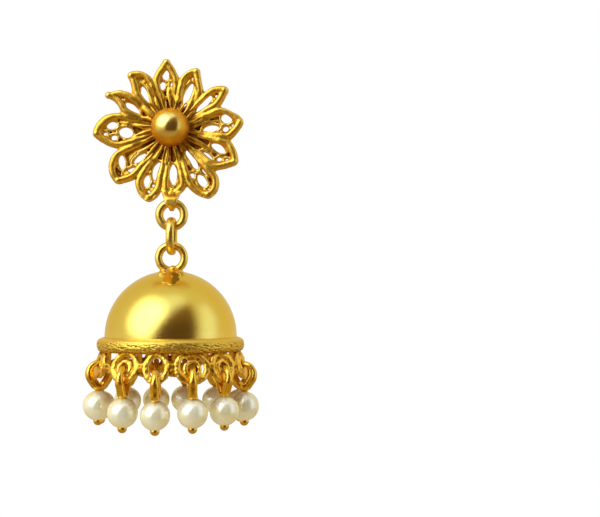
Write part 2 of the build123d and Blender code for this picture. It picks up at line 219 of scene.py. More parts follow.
@dataclass(frozen=True)
class Gold(Finish):
    """Gold plating with painted shade, redder in its hollows and brown in its creases, and a painted
    highlight along its ridges.
    """

    colour: Colour = (0.90, 0.58, 0.06)
    # hollow and crease are colours of painted shade; ridge is the colour of a painted highlight.
    hollow: Colour = (0.62, 0.28, 0.015)
    crease: Colour = (0.24, 0.085, 0.006)
    ridge: Colour = (0.97, 0.73, 0.16)
    tarnish: Colour = (0.88, 0.76, 0.55)
    roughness: float = 0.24
    roughness_spread: float = 0.10
    crease_roughness: float = 0.15
    pit_roughness: float = 0.08
    patch_scale: float = 260.0
    pit_scale: float = 5200.0
    pit_height: float = 0.00002
    dent_scale: float = 700.0
    dent_height: float = 0.00006
    hollow_range: tuple[float, float] = (0.15, 0.75)
    crease_range: tuple[float, float] = (0.20, 0.85)
    ridge_highlight_range: tuple[float, float] = (-0.15, -0.7)
    tarnish_from: float = -0.15
    hollow_waver: float = 0.3
    crease_waver: float = 0.2
    crease_share: float = 0.9
    ridge_highlight_share: float = 0.7
    tarnish_share: float = 0.5

    def inputs(self, graph: Graph, place: NodeSocket) -> dict:
        """Reads how far the surface lies under its surroundings from the piece's "hollow" and "crease"
        attributes, and paints shade and a highlight from them.

        Args:
            graph: The material's nodes.
            place: The place on the piece.

        Returns:
            The shader's inputs.
        """
        hollow, crease = (graph.signal("ShaderNodeAttribute", "Fac", {"attribute_name": name}, None)
                          for name in ("hollow", "crease"))
        patch = graph.grain(place, self.patch_scale, 3.0, 0.6)
        pits = graph.grain(place, self.pit_scale, 2.0, 0.7)
        dents = graph.grain(place, self.dent_scale)
        # Painted shade in the hollows and creases, and a painted highlight where the surface stands out.
        hollow_shade_mask = (hollow + patch * self.hollow_waver).step(*self.hollow_range)
        crease_shade_mask = (crease + patch * self.crease_waver).step(*self.crease_range)
        ridge_highlight_mask = crease.step(*self.ridge_highlight_range)
        dull = (patch - self.tarnish_from).at_least(0.0)
        base = graph.mix(hollow_shade_mask, self.colour, self.hollow)
        base = graph.mix(ridge_highlight_mask * self.ridge_highlight_share, base, self.ridge)
        base = graph.mix(crease_shade_mask * self.crease_share, base, self.crease)
        base = graph.mix(dull * self.tarnish_share, base, self.tarnish, "MULTIPLY")
        rough = self.roughness + patch * self.roughness_spread
        rough = rough + crease_shade_mask * self.crease_roughness + pits * self.pit_roughness
        normal = graph.bump(pits, self.pit_height, under=graph.bump(dents, self.dent_height))
        return {"Base Color": base, "Roughness": rough, "Metallic": 1.0, "Normal": normal}


@dataclass(frozen=True)
class BallGold(Finish):
    """A ball polished in front and frosted round its side."""

    name: str = "gold_ball"
    slot: Slot = Slot.BRIGHT
    polished: Colour = (0.93, 0.68, 0.15)
    frosted: Colour = (0.84, 0.43, 0.03)
    polish_radius: float = 1.55
    frost_radius: float = 1.95
    edge_waver: float = 0.2
    roughness: float = 0.22
    frost_roughness: float = 0.18
    speck_roughness: float = 0.2
    wave_roughness: float = 0.05
    speck_height: float = 0.00004

    def inputs(self, graph: Graph, place: NodeSocket) -> dict:
        """The frosted zone starts at a distance from the ball's own axis.

        Args:
            graph: The material's nodes.
            place: The place on the ball.

        Returns:
            The shader's inputs.
        """
        across, up = graph.along(place, RIGHT), graph.along(place, UP)
        speck = graph.grain(place, 6500.0, 2.0, 0.7)
        wave = graph.grain(place, 600.0)
        edge = (across * across + up * up) ** 0.5 + wave * (self.edge_waver * METRES)
        frost = edge.step(self.polish_radius * METRES, self.frost_radius * METRES)
        rough = self.roughness + frost * self.frost_roughness
        rough = rough + speck * frost * self.speck_roughness + wave * self.wave_roughness
        return {"Base Color": graph.mix(frost, self.polished, self.frosted), "Roughness": rough,
                "Metallic": 1.0, "Normal": graph.bump((speck + 0.5) * frost, self.speck_height)}


@dataclass(frozen=True)
class Nacre(Finish):
    """Cream pearl with faint cloudy growth."""

    name: str = "pearl_nacre"
    slot: Slot = Slot.PEARL
    cream: Colour = (1.0, 0.87, 0.43)
    tan: Colour = (0.95, 0.73, 0.24)
    white: Colour = (1.0, 0.93, 0.57)
    tan_share: float = 0.55
    roughness: float = 0.21
    cloud_roughness: float = 0.10
    fine_roughness: float = 0.08
    growth_height: float = 0.00002

    def inputs(self, graph: Graph, place: NodeSocket) -> dict:
        """Clouds of white and tan over cream, under a clear coat.

        Args:
            graph: The material's nodes.
            place: The place on the pearl.

        Returns:
            The shader's inputs.
        """
        cloud = graph.grain(place, 330.0, 3.0, 0.55)
        fine = graph.grain(place, 2600.0, 3.0, 0.6)
        base = graph.mix(cloud.step(-0.10, 0.12), self.cream, self.white)
        base = graph.mix(cloud.step(-0.08, -0.22) * self.tan_share, base, self.tan)
        rough = self.roughness + cloud * self.cloud_roughness + fine * self.fine_roughness
        return {"Base Color": base, "Roughness": rough, "Metallic": 0.24, "IOR": 1.6, "Coat Weight": 0.8,
                "Coat Roughness": 0.15, "Coat IOR": 1.75, "Normal": graph.bump(fine, self.growth_height, 0.5)}


@dataclass(frozen=True)
class FloorCloth(Finish):
    """Pale cloth, a little uneven in tone."""

    name: str = "pale_floor"
    dim: Colour = (0.82, 0.80, 0.64)
    bright: Colour = (0.87, 0.85, 0.69)

    def inputs(self, graph: Graph, place: NodeSocket) -> dict:
        """Two tones in wide patches."""
        colour = graph.mix(graph.grain(place, 40.0) + 0.5, self.dim, self.bright)
        return {"Base Color": colour, "Roughness": 0.8}


# --- workbench
class Station(NamedTuple):
    """One stop along a wire: its centre and its half sizes across and through the wire's plane."""

    at: Vector
    across: float
    through: float


def even(line: Sequence[Vector], across: float, through: float | None = None) -> list[Station]:
    """The stops of a wire that is the same all along a line."""
    return [Station(point, across, through or across) for point in line]


def arc(middle: Vector, across: Vector, up: Vector, start: float, end: float, steps: int) -> list[Vector]:
    """Points along an arc of a circle or an oval.

    Args:
        middle: Its centre.
        across: From the centre to the point at angle 0.
        up: From the centre to the point a quarter turn on.
        start: The first angle.
        end: The last angle.
        steps: Steps from the first to the last.

    Returns:
        The points, both ends among them.
    """
    angles = [start + (end - start) * i / steps for i in range(steps + 1)]
    return [middle + across * math.cos(angle) + up * math.sin(angle) for angle in angles]


def eased(value: np.ndarray | float, low: float, high: float) -> np.ndarray | float:
    """A smooth rise from 0 at low to 1 at high."""
    share = np.clip((value - low) / (high - low), 0.0, 1.0)
    return share * share * (3 - 2 * share)


def numbers(items: bpy.types.bpy_prop_collection, name: str, width: int,
            kind: type = np.float32) -> np.ndarray:
    """Reads one property of all of a mesh's vertices or edges.

    Args:
        items: The vertices or edges.
        name: The property.
        width: Its numbers for each item.
        kind: Their type.

    Returns:
        One row an item.
    """
    flat = np.empty(len(items) * width, kind)
    items.foreach_get(name, flat)
    return flat.reshape(-1, width)


@dataclass(frozen=True)
class Depth:
    """One scale of hollows, from which the gold paints shade: its attribute, how wide the surroundings are,
    the depth of a full hollow and any painted shade added on top.
    """

    name: str
    spread: int
    depth: float
    painted_shade: Callable[[np.ndarray], np.ndarray] | None = None


# Plain painted shade in creases and hollows, with nothing added.
PLAIN = (Depth("crease", 5, 0.05), Depth("hollow", 14, 0.25))


class PaintedShade(NamedTuple):
    """Painted shade: how dark it is at full, where it starts and where it is full."""

    full: float
    start: float
    end: float

    def at(self, value: np.ndarray) -> np.ndarray:
        """How dark it is at each height or distance."""
        return self.full * eased(value, self.start, self.end)


class Bench:
    """Ways of shaping metal that every sub-assembly uses."""

    merge: float = 0.0005
    dome: tuple[float, ...] = (1.35, 1.0, 0.6, 0.25)

    @staticmethod
    def frames(stations: Sequence[Station], normal: Vector, closed: bool) -> list[Matrix]:
        """The placing of the wire's section at each station.

        Args:
            stations: The stops.
            normal: Normal of the plane that the wire lies in.
            closed: Whether the wire joins its own start.

        Returns:
            One matrix a station, which takes a unit circle to the section there.
        """
        count, made = len(stations), []
        for i, station in enumerate(stations):
            before = stations[i - 1] if closed or i else station
            after = stations[(i + 1) % count] if closed or i < count - 1 else station
            along = (after.at - before.at).normalized()
            side = along.cross(normal).normalized()
            lift = side.cross(along)
            turn = Matrix((side * station.across, lift * station.through, along)).transposed().to_4x4()
            made.append(Matrix.Translation(station.at) @ turn)
        return made

    @classmethod
    def wire(cls, bm: BMesh, stations: Sequence[Station], normal: Vector, closed: bool = False,
             sides: int = 14) -> None:
        """Draws a wire by extruding a circle from stop to stop.

        Args:
            bm: The mesh that it is added to.
            stations: The stops.
            normal: Normal of the wire's plane.
            closed: Whether the wire joins its own start.
            sides: Facets round the wire.
        """
        places = cls.frames(stations, normal, closed)
        ring = bmesh.ops.create_circle(bm, segments=sides, radius=1.0, matrix=places[0])["verts"]
        first = edges = list(dict.fromkeys(edge for vert in ring for edge in vert.link_edges))
        for before, after in zip(places, places[1:]):
            grown = bmesh.ops.extrude_edge_only(bm, edges=edges)["geom"]
            verts = [part for part in grown if isinstance(part, BMVert)]
            edges = [part for part in grown
                     if isinstance(part, BMEdge) and all(vert in verts for vert in part.verts)]
            bmesh.ops.transform(bm, matrix=after @ before.inverted(), verts=verts)
        if closed:
            bmesh.ops.bridge_loops(bm, edges=first + edges)
        else:
            for end in (first, edges):
                bmesh.ops.holes_fill(bm, edges=end, sides=0)

    @classmethod
    def rounded(cls, stations: Sequence[Station]) -> list[Station]:
        """Closes a wire's two ends with short domes.

        Args:
            stations: The stops of the wire.

        Returns:
            The stops with the domes' own before and after them.
        """
        ends = []
        for end, inner in ((stations[0], stations[1]), (stations[-1], stations[-2])):
            out = (end.at - inner.at).normalized()
            ends.append([Station(end.at + out * end.across * math.sin(a), end.across * math.cos(a),
                                 end.through * math.cos(a)) for a in cls.dome])
        return [*ends[0], *stations, *reversed(ends[1])]

    @staticmethod
    def ball(bm: BMesh, centre: Vector, radii: Sequence[float], turn: Quaternion | None = None,
             rows: int = 12) -> None:
        """Adds a ball or a stretched blob.

        Args:
            bm: The mesh that it is added to.
            centre: Its centre.
            radii: Its three half sizes.
            turn: How it is turned.
            rows: Rows from pole to pole.
        """
        place = Matrix.Translation(centre) @ (turn or Quaternion()).to_matrix().to_4x4()
        place = place @ Matrix.Diagonal((*radii, 1.0))
        bmesh.ops.create_uvsphere(bm, u_segments=rows * 2, v_segments=rows, radius=1.0, matrix=place)

    @classmethod
    def spun(cls, bm: BMesh, outline: list[BMVert | BMEdge], centre: Vector, axis: Vector,
             steps: int) -> None:
        """Turns an outline right round an axis into a closed skin.

        Args:
            bm: The mesh.
            outline: Its vertices and edges that are turned.
            centre: A point of the axis.
            axis: The axis.
            steps: Steps round.
        """
        bmesh.ops.spin(bm, geom=outline, cent=centre, axis=axis, angle=math.tau, steps=steps, use_merge=True)
        bmesh.ops.remove_doubles(bm, verts=bm.verts, dist=cls.merge)
        bmesh.ops.recalc_face_normals(bm, faces=bm.faces)

    @classmethod
    def turned(cls, profile: Sequence[Sequence[float]], steps: int,
               x: float = CHAIN_X, y: float = CHAIN_Y) -> BMesh:
        """Turns a closed profile about an upright line, as on a lathe.

        Args:
            profile: Its points: distance from the line, and height.
            steps: Steps round.
            x: Where the line is; the chain's line if it isn't given.
            y: The same, from front to back.

        Returns:
            The new mesh.
        """
        bm = bmesh.new()
        verts = [bm.verts.new((x + radius, y, height)) for radius, height in profile]
        edges = [bm.edges.new(pair) for pair in zip(verts, verts[1:] + verts[:1])]
        cls.spun(bm, verts + edges, Vector((x, y, 0)), UP, steps)
        return bm

    @staticmethod
    def cut(bm: BMesh, point: Vector, outward: Vector) -> None:
        """Cuts off what lies beyond a plane and closes the cut.

        Args:
            bm: The mesh.
            point: A point of the plane.
            outward: The plane's normal, towards what is cut off.
        """
        geom = [*bm.verts, *bm.edges, *bm.faces]
        bmesh.ops.bisect_plane(bm, geom=geom, plane_co=point, plane_no=outward, clear_outer=True)
        bmesh.ops.holes_fill(bm, edges=bm.edges, sides=0)

    @staticmethod
    def melted(bm: BMesh, voxel: float, passes: int, swell: float) -> BMesh:
        """Runs overlapping shells together into one cast skin.

        Args:
            bm: The shells; it is freed.
            voxel: Size of the skin's cells.
            passes: How often the skin is smoothed.
            swell: How far it is grown again, for what the smoothing took off.

        Returns:
            The new mesh.
        """
        mesh = bpy.data.meshes.new("casting")
        bmesh.ops.recalc_face_normals(bm, faces=bm.faces)
        bm.to_mesh(mesh)
        bm.free()
        mould = bpy.data.objects.new("casting", mesh)
        bpy.context.scene.collection.objects.link(mould)
        remesh = mould.modifiers.new("cast", "REMESH")
        remesh.mode, remesh.voxel_size = "VOXEL", voxel
        cast = bpy.data.meshes.new_from_object(mould.evaluated_get(bpy.context.evaluated_depsgraph_get()))
        made = bmesh.new()
        made.from_mesh(cast)
        for _ in range(passes):
            bmesh.ops.smooth_vert(made, verts=made.verts, factor=0.5, use_axis_x=True, use_axis_y=True,
                                  use_axis_z=True)
        made.normal_update()
        for vert in made.verts:
            vert.co += vert.normal * swell
        bpy.data.objects.remove(mould)
        for used in (mesh, cast):
            bpy.data.meshes.remove(used)
        return made

    @staticmethod
    def uneven(bm: BMesh, height: float, lump: float, seed: float) -> None:
        """Moves the surface in and out a little, as hand work does.

        Args:
            bm: The mesh.
            height: The largest move.
            lump: Size of a lump.
            seed: Which pattern.
        """
        bm.normal_update()
        shift = Vector((seed, seed * 1.7, seed * 2.3))
        for vert in bm.verts:
            vert.co += vert.normal * (noise.noise(vert.co / lump + shift) - 0.25) * height

    @staticmethod
    def kept_in(bm: BMesh, node: str) -> None:
        """Keeps every point inside the box of a CAD node.

        Args:
            bm: The mesh, in millimetres.
            node: The CAD node.
        """
        low, high = (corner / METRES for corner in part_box(node))
        for vert in bm.verts:
            vert.co = [min(max(value, a), b) for value, a, b in zip(vert.co, low, high)]

    @staticmethod
    def mark_depths(mesh: bpy.types.Mesh, layers: Sequence[Depth]) -> None:
        """Stores how far each point lies under its surroundings, at several scales, with any painted shade
        added; the gold paints shade from it.

        Args:
            mesh: The finished mesh, in metres.
            layers: What is stored, the narrowest surroundings first.
        """
        count = len(mesh.vertices)
        co, normals = numbers(mesh.vertices, "co", 3) / METRES, numbers(mesh.vertices, "normal", 3)
        pairs = numbers(mesh.edges, "vertices", 2, np.int32)
        here, there = np.concatenate([pairs, pairs[:, ::-1]]).T
        links = np.maximum(np.bincount(here, minlength=count), 1)
        level, done = co.astype(np.float64), 0
        for layer in layers:
            for _ in range(layer.spread - done):
                level = np.stack([np.bincount(here, level[there, k], count) / links
                                  for k in range(3)], axis=1)
            done = layer.spread
            under = ((level - co) * normals).sum(axis=1) / layer.depth
            # Painted shade is added on top of how far the point lies under its surroundings.
            if layer.painted_shade:
                under = under + layer.painted_shade(co)
            stored = mesh.attributes.new(layer.name, "FLOAT", "POINT")
            stored.data.foreach_set("value", np.clip(under, -1.0, 1.0).astype(np.float32))


@dataclass
class Fitter:
    """Turns finished meshes into pieces on their bodies, and keeps the materials."""

    materials: dict[str, Material] = field(default_factory=dict)

    def fit(self, bm: BMesh, name: str, body: Body, finish: Finish, node: str | None = None,
            depths: Sequence[Depth] = PLAIN) -> None:
        """Makes a piece from a mesh in millimetres.

        Args:
            bm: The mesh; it is freed.
            name: The piece's name.
            body: The body that it rides on.
            finish: Its finish.
            node: The CAD node that it stands for.
            depths: The scales at which its hollows, and any painted shade, are stored.
        """
        bmesh.ops.scale(bm, vec=(METRES,) * 3, verts=bm.verts)
        mesh = bpy.data.meshes.new(name)
        bm.to_mesh(mesh)
        bm.free()
        mesh.shade_smooth()
        Bench.mark_depths(mesh, depths)
        if finish.name not in self.materials:
            self.materials[finish.name] = finish.make()
        mesh.materials.append(self.materials[finish.name])
        piece = bpy.data.objects.new(name, mesh)
        bpy.context.scene.collection.objects.link(piece)
        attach(piece, body.value)
        if node:
            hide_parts(node)
        LOG.info("%s: %d faces on %s", name, len(mesh.polygons), body.value)


# --- the stud
class Polar(NamedTuple):
    """A point of the flower: degrees from three o'clock and distance from the centre."""

    degrees: float
    distance: float

    def flat(self) -> Vector:
        """The point as X and Z."""
        angle = math.radians(self.degrees)
        return Vector((self.distance * math.cos(angle), self.distance * math.sin(angle)))


class Opening(NamedTuple):
    """A hole in a petal: how far out and to the side it is, its size and its lean."""

    out: float
    side: float
    length: float
    width: float
    lean: float


class Ridge(NamedTuple):
    """A leaf-like ridge from the hub: its half width, and its points along and across the petal."""

    half_width: float
    line: tuple[tuple[float, float], ...]


@dataclass(frozen=True)
class Petal:
    """One petal: the notch before it, a point of each side, the tip, its openings and its ridges."""

    notch: Polar
    near: Polar
    tip: Polar
    far: Polar
    openings: tuple[Opening, ...]
    ridges: tuple[Ridge, ...]

    def axes(self, lean: float = 0.0) -> tuple[Vector, Vector]:
        """The ways along and across the petal, or along and across something that leans on it."""
        along = Polar(self.tip.degrees + lean, 1.0).flat()
        return along, Vector((-along.y, along.x))

    def local(self, out: float, side: float) -> Vector:
        """A point given along and across the petal, as X and Z."""
        along, across = self.axes()
        return along * out + across * side


PETALS = (
    Petal(Polar(349.3, 8.6), Polar(357.4, 9.6), Polar(5.8, 10.6), Polar(16.2, 9.2), (
        Opening(5.7, -0.5, 2.6, 1.1, 4), Opening(8.1, 0.7, 1.6, 1.4, -26),
        Opening(7.8, -0.8, 1.0, 0.9, 0), Opening(9.0, -0.4, 0.7, 0.6, 0)), (
        Ridge(0.42, ((3, 0.3), (5, 0.9), (6.9, 1.3))),
        Ridge(0.45, ((2.9, -0.6), (4.2, -1.2), (5.8, -1.8))),
        Ridge(0.2, ((3, -0.2), (4.8, 0.4), (6.4, 0.6))))),
    Petal(Polar(25.1, 7.7), Polar(30.1, 8.8), Polar(35.1, 10.2), Polar(43.8, 8.9), (
        Opening(6.0, 0.3, 3.9, 1.1, 13), Opening(8.0, 0.2, 0.7, 0.5, 10)), (
        Ridge(0.3, ((3.1, -0.1), (4.3, 0.5), (5.8, 1.1))),
        Ridge(0.26, ((3.3, -0.8), (5.2, -1), (7, -0.7))))),
    Petal(Polar(48.4, 7.1), Polar(58.2, 8.2), Polar(65.3, 9.7), Polar(74.3, 8.9), (
        Opening(5.5, -0.1, 3.9, 1.2, 5), Opening(7.9, 0.3, 0.6, 0.45, 0)), (
        Ridge(0.3, ((2.8, 0.7), (4.6, 0.9), (6.1, 1.1), (8.1, 0.8))),
        Ridge(0.42, ((3.3, -1), (5.2, -1), (7.2, -0.6), (8.4, -0.2))),
        Ridge(0.25, ((3.2, -0.1), (4, -0.2), (4.6, -0.5))))),
    Petal(Polar(81.3, 7.4), Polar(87.4, 8.8), Polar(94.1, 10.4), Polar(101.7, 9.0), (
        Opening(8.2, 0.3, 2.4, 1.1, -4), Opening(6.4, 0.9, 1.4, 0.9, -14),
        Opening(6.4, -0.6, 1.0, 0.6, 0), Opening(5.0, -0.1, 1.3, 0.35, -4)), (
        Ridge(0.3, ((2.7, 1.6), (4.4, 1.9), (6.4, 1.9))),
        Ridge(0.22, ((2.9, 0.5), (4.3, 0.6), (5.3, 0.8))),
        Ridge(0.2, ((2.7, -0.2), (4.4, 0), (6.2, 0))),
        Ridge(0.3, ((2.8, -1.2), (4.4, -1), (5.9, -1))))),
    Petal(Polar(110.2, 7.8), Polar(116.4, 9.4), Polar(129.8, 10.2), Polar(132.2, 8.7), (
        Opening(6.0, -0.1, 3.7, 1.1, -20), Opening(8.2, -1.2, 0.7, 0.45, 20)), (
        Ridge(0.35, ((3.5, 0.3), (5.1, -0.5), (6.8, -1.2), (8.5, -1.1))),
        Ridge(0.32, ((3.8, 1), (5.6, 0.9), (7.1, 0.5), (8.7, -0.3))),
        Ridge(0.17, ((4.4, 0.8), (6.1, 0.7), (8, -0.2))))),
    Petal(Polar(138.3, 7.5), Polar(142.4, 9.3), Polar(154.4, 10.8), Polar(154.8, 8.9), (
        Opening(6.3, -0.2, 3.1, 1.1, -17), Opening(8.2, -0.8, 0.7, 0.45, 6)), (
        Ridge(0.4, ((3.5, -0.5), (5.6, -1.3), (7.7, -1.5), (9.4, -1))),
        Ridge(0.3, ((3.5, 0.1), (4.9, 0.5), (6.4, 0.7), (7.6, 0.2))))),
    Petal(Polar(161.7, 7.7), Polar(171.0, 10.0), Polar(184.4, 11.4), Polar(192.3, 9.9), (
        Opening(6.6, 0.0, 2.1, 1.5, -19), Opening(8.5, -1.2, 1.7, 1.1, 6),
        Opening(9.6, 0.0, 0.7, 0.6, 0), Opening(8.3, 0.6, 1.0, 0.8, 0)), (
        Ridge(0.5, ((2.9, -0.3), (5, -1), (7.2, -1.5))),
        Ridge(0.28, ((2.9, 0.2), (4.5, 0.2), (6, 1), (7.2, 1.7))))),
    Petal(Polar(200.7, 8.1), Polar(209.9, 10.4), Polar(226.0, 11.2), Polar(230.9, 9.8), (
        Opening(8.4, -1.8, 2.2, 1.0, 49), Opening(6.2, -0.3, 2.6, 0.9, -8),
        Opening(8.1, 0.1, 2.3, 0.7, -28), Opening(9.3, -0.1, 0.9, 0.5, -46)), (
        Ridge(0.55, ((2.7, -1.2), (4.6, -1.9), (7.1, -2.4))),
        Ridge(0.25, ((3.7, -0.3), (5, -0.8), (5.8, -1.2))),
        Ridge(0.3, ((2.8, 0), (4.7, 0.3), (6.2, 0.4), (7.7, 0.7))))),
    Petal(Polar(234.5, 8.8), Polar(241.5, 10.3), Polar(253.0, 11.1), Polar(258.2, 10.0), (
        Opening(6.4, -0.2, 2.9, 1.2, 0), Opening(8.2, -1.1, 1.9, 1.1, 2),
        Opening(8.6, 0.0, 0.7, 0.5, 70), Opening(9.6, -0.4, 0.7, 0.5, 70)), (
        Ridge(0.35, ((3.2, -0.6), (4.6, -0.9), (6.4, -1.2))),
        Ridge(0.25, ((3.2, 0.2), (4.7, 0.4), (6.3, 0.9), (7.3, 1.5))))),
    Petal(Polar(261.3, 8.7), Polar(265.1, 9.5), Polar(271.4, 10.3), Polar(278.6, 9.4), (
        Opening(6.6, 0.1, 3.2, 1.2, 0),), (
        Ridge(0.28, ((3, -0.7), (4.6, -0.7), (6.3, -0.9), (8.2, -0.4))),
        Ridge(0.4, ((3, 0.5), (4.6, 1), (6.3, 1.4), (8, 0.9))))),
    Petal(Polar(285.5, 8.5), Polar(290.6, 10.1), Polar(298.3, 11.4), Polar(310.7, 10.6), (
        Opening(5.3, 0.5, 3.6, 1.0, 4), Opening(8.7, 0.4, 2.3, 1.2, 7),
        Opening(7.8, 1.5, 1.6, 0.8, 20), Opening(7.4, -0.5, 1.0, 0.7, 22),
        Opening(10.3, 0.6, 0.7, 0.65, 60)), (
        Ridge(0.28, ((3.6, 0), (5.2, 0.1), (7, 0.1))),
        Ridge(0.3, ((3.9, 0.6), (5.5, 1.2), (7.1, 1.4))))),
    Petal(Polar(315.8, 8.6), Polar(323.3, 9.6), Polar(332.5, 10.9), Polar(341.4, 9.9), (
        Opening(7.3, 0.7, 2.5, 1.1, -4), Opening(6.3, -1.1, 2.4, 0.8, -6),
        Opening(8.2, -0.7, 0.75, 0.65, 28), Opening(9.3, -0.3, 0.8, 0.6, 28)), (
        Ridge(0.5, ((3.2, 0), (5.1, 0.1), (6.9, 0))),
        Ridge(0.25, ((3.4, -1), (5.4, -1.4), (6.9, -1.6))))),
)


def at_depth(point: Vector, y: float) -> Vector:
    """A flat point of the flower, brought to its depth."""
    return Vector((point.x, y, point.y))


@dataclass
class FlowerStud:
    """The cast flower, the ball in its middle and the ear post behind it."""

    fitter: Fitter
    cell: float = 0.118
    top: float = 1.58
    front: float = -0.8
    web_thickness: float = 0.66
    hub_radius: float = 2.5
    # Painted shade round the ball, on the roots of the petals.
    root_painted_shade: PaintedShade = PaintedShade(0.75, 5.8, 3.1)
    groove_depth: float = 0.30
    groove_count: float = 11.0
    groove_range: tuple[float, float] = (4.0, 7.5)
    border_wire: float = 0.52
    border_growth: float = 4.6
    border_waver: float = 0.35
    flatness: float = 0.85
    root_wire: float = 0.24
    root_angle: float = 5.0
    root_sink: float = 0.34
    root_range: tuple[float, float] = (3.6, 7.2)
    overlap: float = 0.22
    tip_blob: float = 0.56
    opening_wire: float = 0.2
    opening_y: float = -0.88
    opening_gap: float = 0.16
    ridge_y: float = -1.5
    ridge_fall: float = 0.4
    ridge_flatness: float = 0.8
    ridge_in_opening: float = 0.14
    lug_top: float = -9.6
    lug_narrowing: float = 0.5
    lug_taper: tuple[float, float] = (10.9, 11.9)
    wedge: tuple[tuple[float, float, float], ...] = (
        (1.30, -1.20, -8.5), (1.18, -1.35, -9.1), (0.96, -1.80, -9.65), (0.72, -2.22, -10.15),
        (0.54, -2.43, -10.7), (0.40, -2.38, -11.2))
    wedge_wire: tuple[float, float] = (0.19, 0.34)
    ball_radius: float = 2.75
    ball_y: float = -2.2
    ball_seat: float = -0.9
    post_radius: float = 0.425
    post_length: float = 10.5

    def build(self) -> None:
        """Builds the three pieces."""
        skin = Bench.melted(self._shells(), self.cell, 2, 0.03)
        Bench.uneven(skin, 0.08, 2.2, 4.0)
        Bench.uneven(skin, 0.045, 0.8, 8.0)
        self._feather(skin)
        Bench.kept_in(skin, "flower")
        gold = Gold("gold_flower", Slot.SATIN, (0.85, 0.485, 0.042), roughness=0.38)
        # The painted shade round the hub is added at both scales.
        depths = Depth("crease", 6, 0.09, self._hub_painted_shade), Depth("hollow", 26, 0.42, self._hub_painted_shade)
        self.fitter.fit(skin, "flower_casting", Body.STUD, gold, "flower", depths)
        self._ball()
        self._post()

    def _feather(self, bm: BMesh) -> None:
        """Cuts fine grooves that run out from the hub and fade half-way along the petals.

        Args:
            bm: The flower.
        """
        for vert in bm.verts:
            away = math.hypot(vert.co.x, vert.co.z)
            if vert.co.y < self.front and away < self.groove_range[1]:
                around = Vector((vert.co.x, vert.co.z)).normalized() * self.groove_count
                groove = noise.noise(Vector((*around, away * 0.5)))
                mask = 1 - eased(away, *self.groove_range)
                vert.co.y += self.groove_depth * max(0.0, groove + 0.05) * mask

    def _hub_painted_shade(self, places: np.ndarray) -> np.ndarray:
        """Paints shade on the front of the petals' roots, round the ball."""
        return self.root_painted_shade.at(np.hypot(places[:, 0], places[:, 2])) * (places[:, 1] < self.front / 2)

    def _shells(self) -> BMesh:
        """The web with every wire and ridge laid on it.

        Returns:
            The overlapping shells.
        """
        bm = self._web()
        for petal, following in zip(PETALS, PETALS[1:] + PETALS[:1]):
            end = following.notch
            Bench.wire(bm, self._border(petal, end), FRONT)
            tip = self._tip_inside(petal, end, self.tip_blob)
            centre = at_depth(tip, self.flatness * self.tip_blob - self.top)
            Bench.ball(bm, centre, (self.tip_blob,) * 3)
            for opening in petal.openings:
                self._opening_rim(bm, petal, opening)
            for ridge in petal.ridges:
                self._ridge(bm, petal, ridge)
        for side in (-1, 0, 1):
            line = [Vector((CHAIN_X + side * x, y, z)) for x, y, z in self.wedge]
            Bench.wire(bm, even(line, *self.wedge_wire), RIGHT, sides=10)
        return bm

    def _web(self) -> BMesh:
        """The flower's own outline and holes, thinned to the web between its wires, with a narrowed lug.

        Returns:
            The web.
        """
        bm = bmesh.new()
        bm.from_mesh(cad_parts["flower"].data)
        bmesh.ops.remove_doubles(bm, verts=bm.verts, dist=0.001 * METRES)
        bmesh.ops.scale(bm, vec=(1 / METRES,) * 3, verts=bm.verts)
        for vert in bm.verts:
            if vert.co.y < self.front and vert.co.z > self.lug_top:
                vert.co.y = -self.web_thickness
            narrowed = 1 - self.lug_narrowing * eased(-vert.co.z, *self.lug_taper)
            vert.co.x = CHAIN_X + (vert.co.x - CHAIN_X) * narrowed
        return bm

    @staticmethod
    def _bow(start: Vector, middle: Vector, end: Vector, inset: float, inside: Vector) -> list[Vector]:
        """Points of the arc through three points, moved in by an inset.

        Args:
            start: First point.
            middle: Point on the way.
            end: Last point.
            inset: How far the arc is moved.
            inside: A point on the side that it is moved to.

        Returns:
            Nine points.
        """
        a, b = middle - start, end - start
        cross = 2 * (a.x * b.y - a.y * b.x)
        centre = start + Vector(((b.y * a.length_squared - a.y * b.length_squared) / cross,
                                 (a.x * b.length_squared - b.x * a.length_squared) / cross))
        radius = (start - centre).length
        moved = radius - inset if (inside - centre).length < radius else radius + inset
        first, through, last = ((point - centre).angle_signed(Vector((1, 0)))
                                for point in (start, middle, end))
        sweep = (last - first + math.pi) % math.tau - math.pi
        if not 0 <= ((through - first) * math.copysign(1, sweep)) % math.tau <= abs(sweep):
            sweep -= math.copysign(math.tau, sweep)
        return arc(centre, Vector((moved, 0)), Vector((0, moved)), first, first + sweep, 8)

    def _sides(self, petal: Petal, end: Polar, inset: float) -> tuple[list[Vector], list[Vector]]:
        """The petal's two sides, moved in by an inset.

        Args:
            petal: The petal.
            end: The notch after it.
            inset: How far they are moved.

        Returns:
            The side up to the tip and the side down from it.
        """
        tip, inside = petal.tip.flat(), petal.local(7.0, 0.0)
        return (self._bow(petal.notch.flat(), petal.near.flat(), tip, inset, inside),
                self._bow(tip, petal.far.flat(), end.flat(), inset, inside))

    def _tip_inside(self, petal: Petal, end: Polar, inset: float) -> Vector:
        """A point inside the tip, as far in as a ball of that size needs.

        Args:
            petal: The petal.
            end: The notch after it.
            inset: The ball's radius.

        Returns:
            The point, as X and Z.
        """
        near, far = self._sides(petal, end, 0.0)
        tip = petal.tip.flat()
        ways = [(point - tip).normalized() for point in (near[-2], far[1])]
        back = (ways[0] + ways[1]).normalized()
        return tip + back * min(inset / max(math.sin(back.angle(ways[0])), 0.3), inset * 1.35)

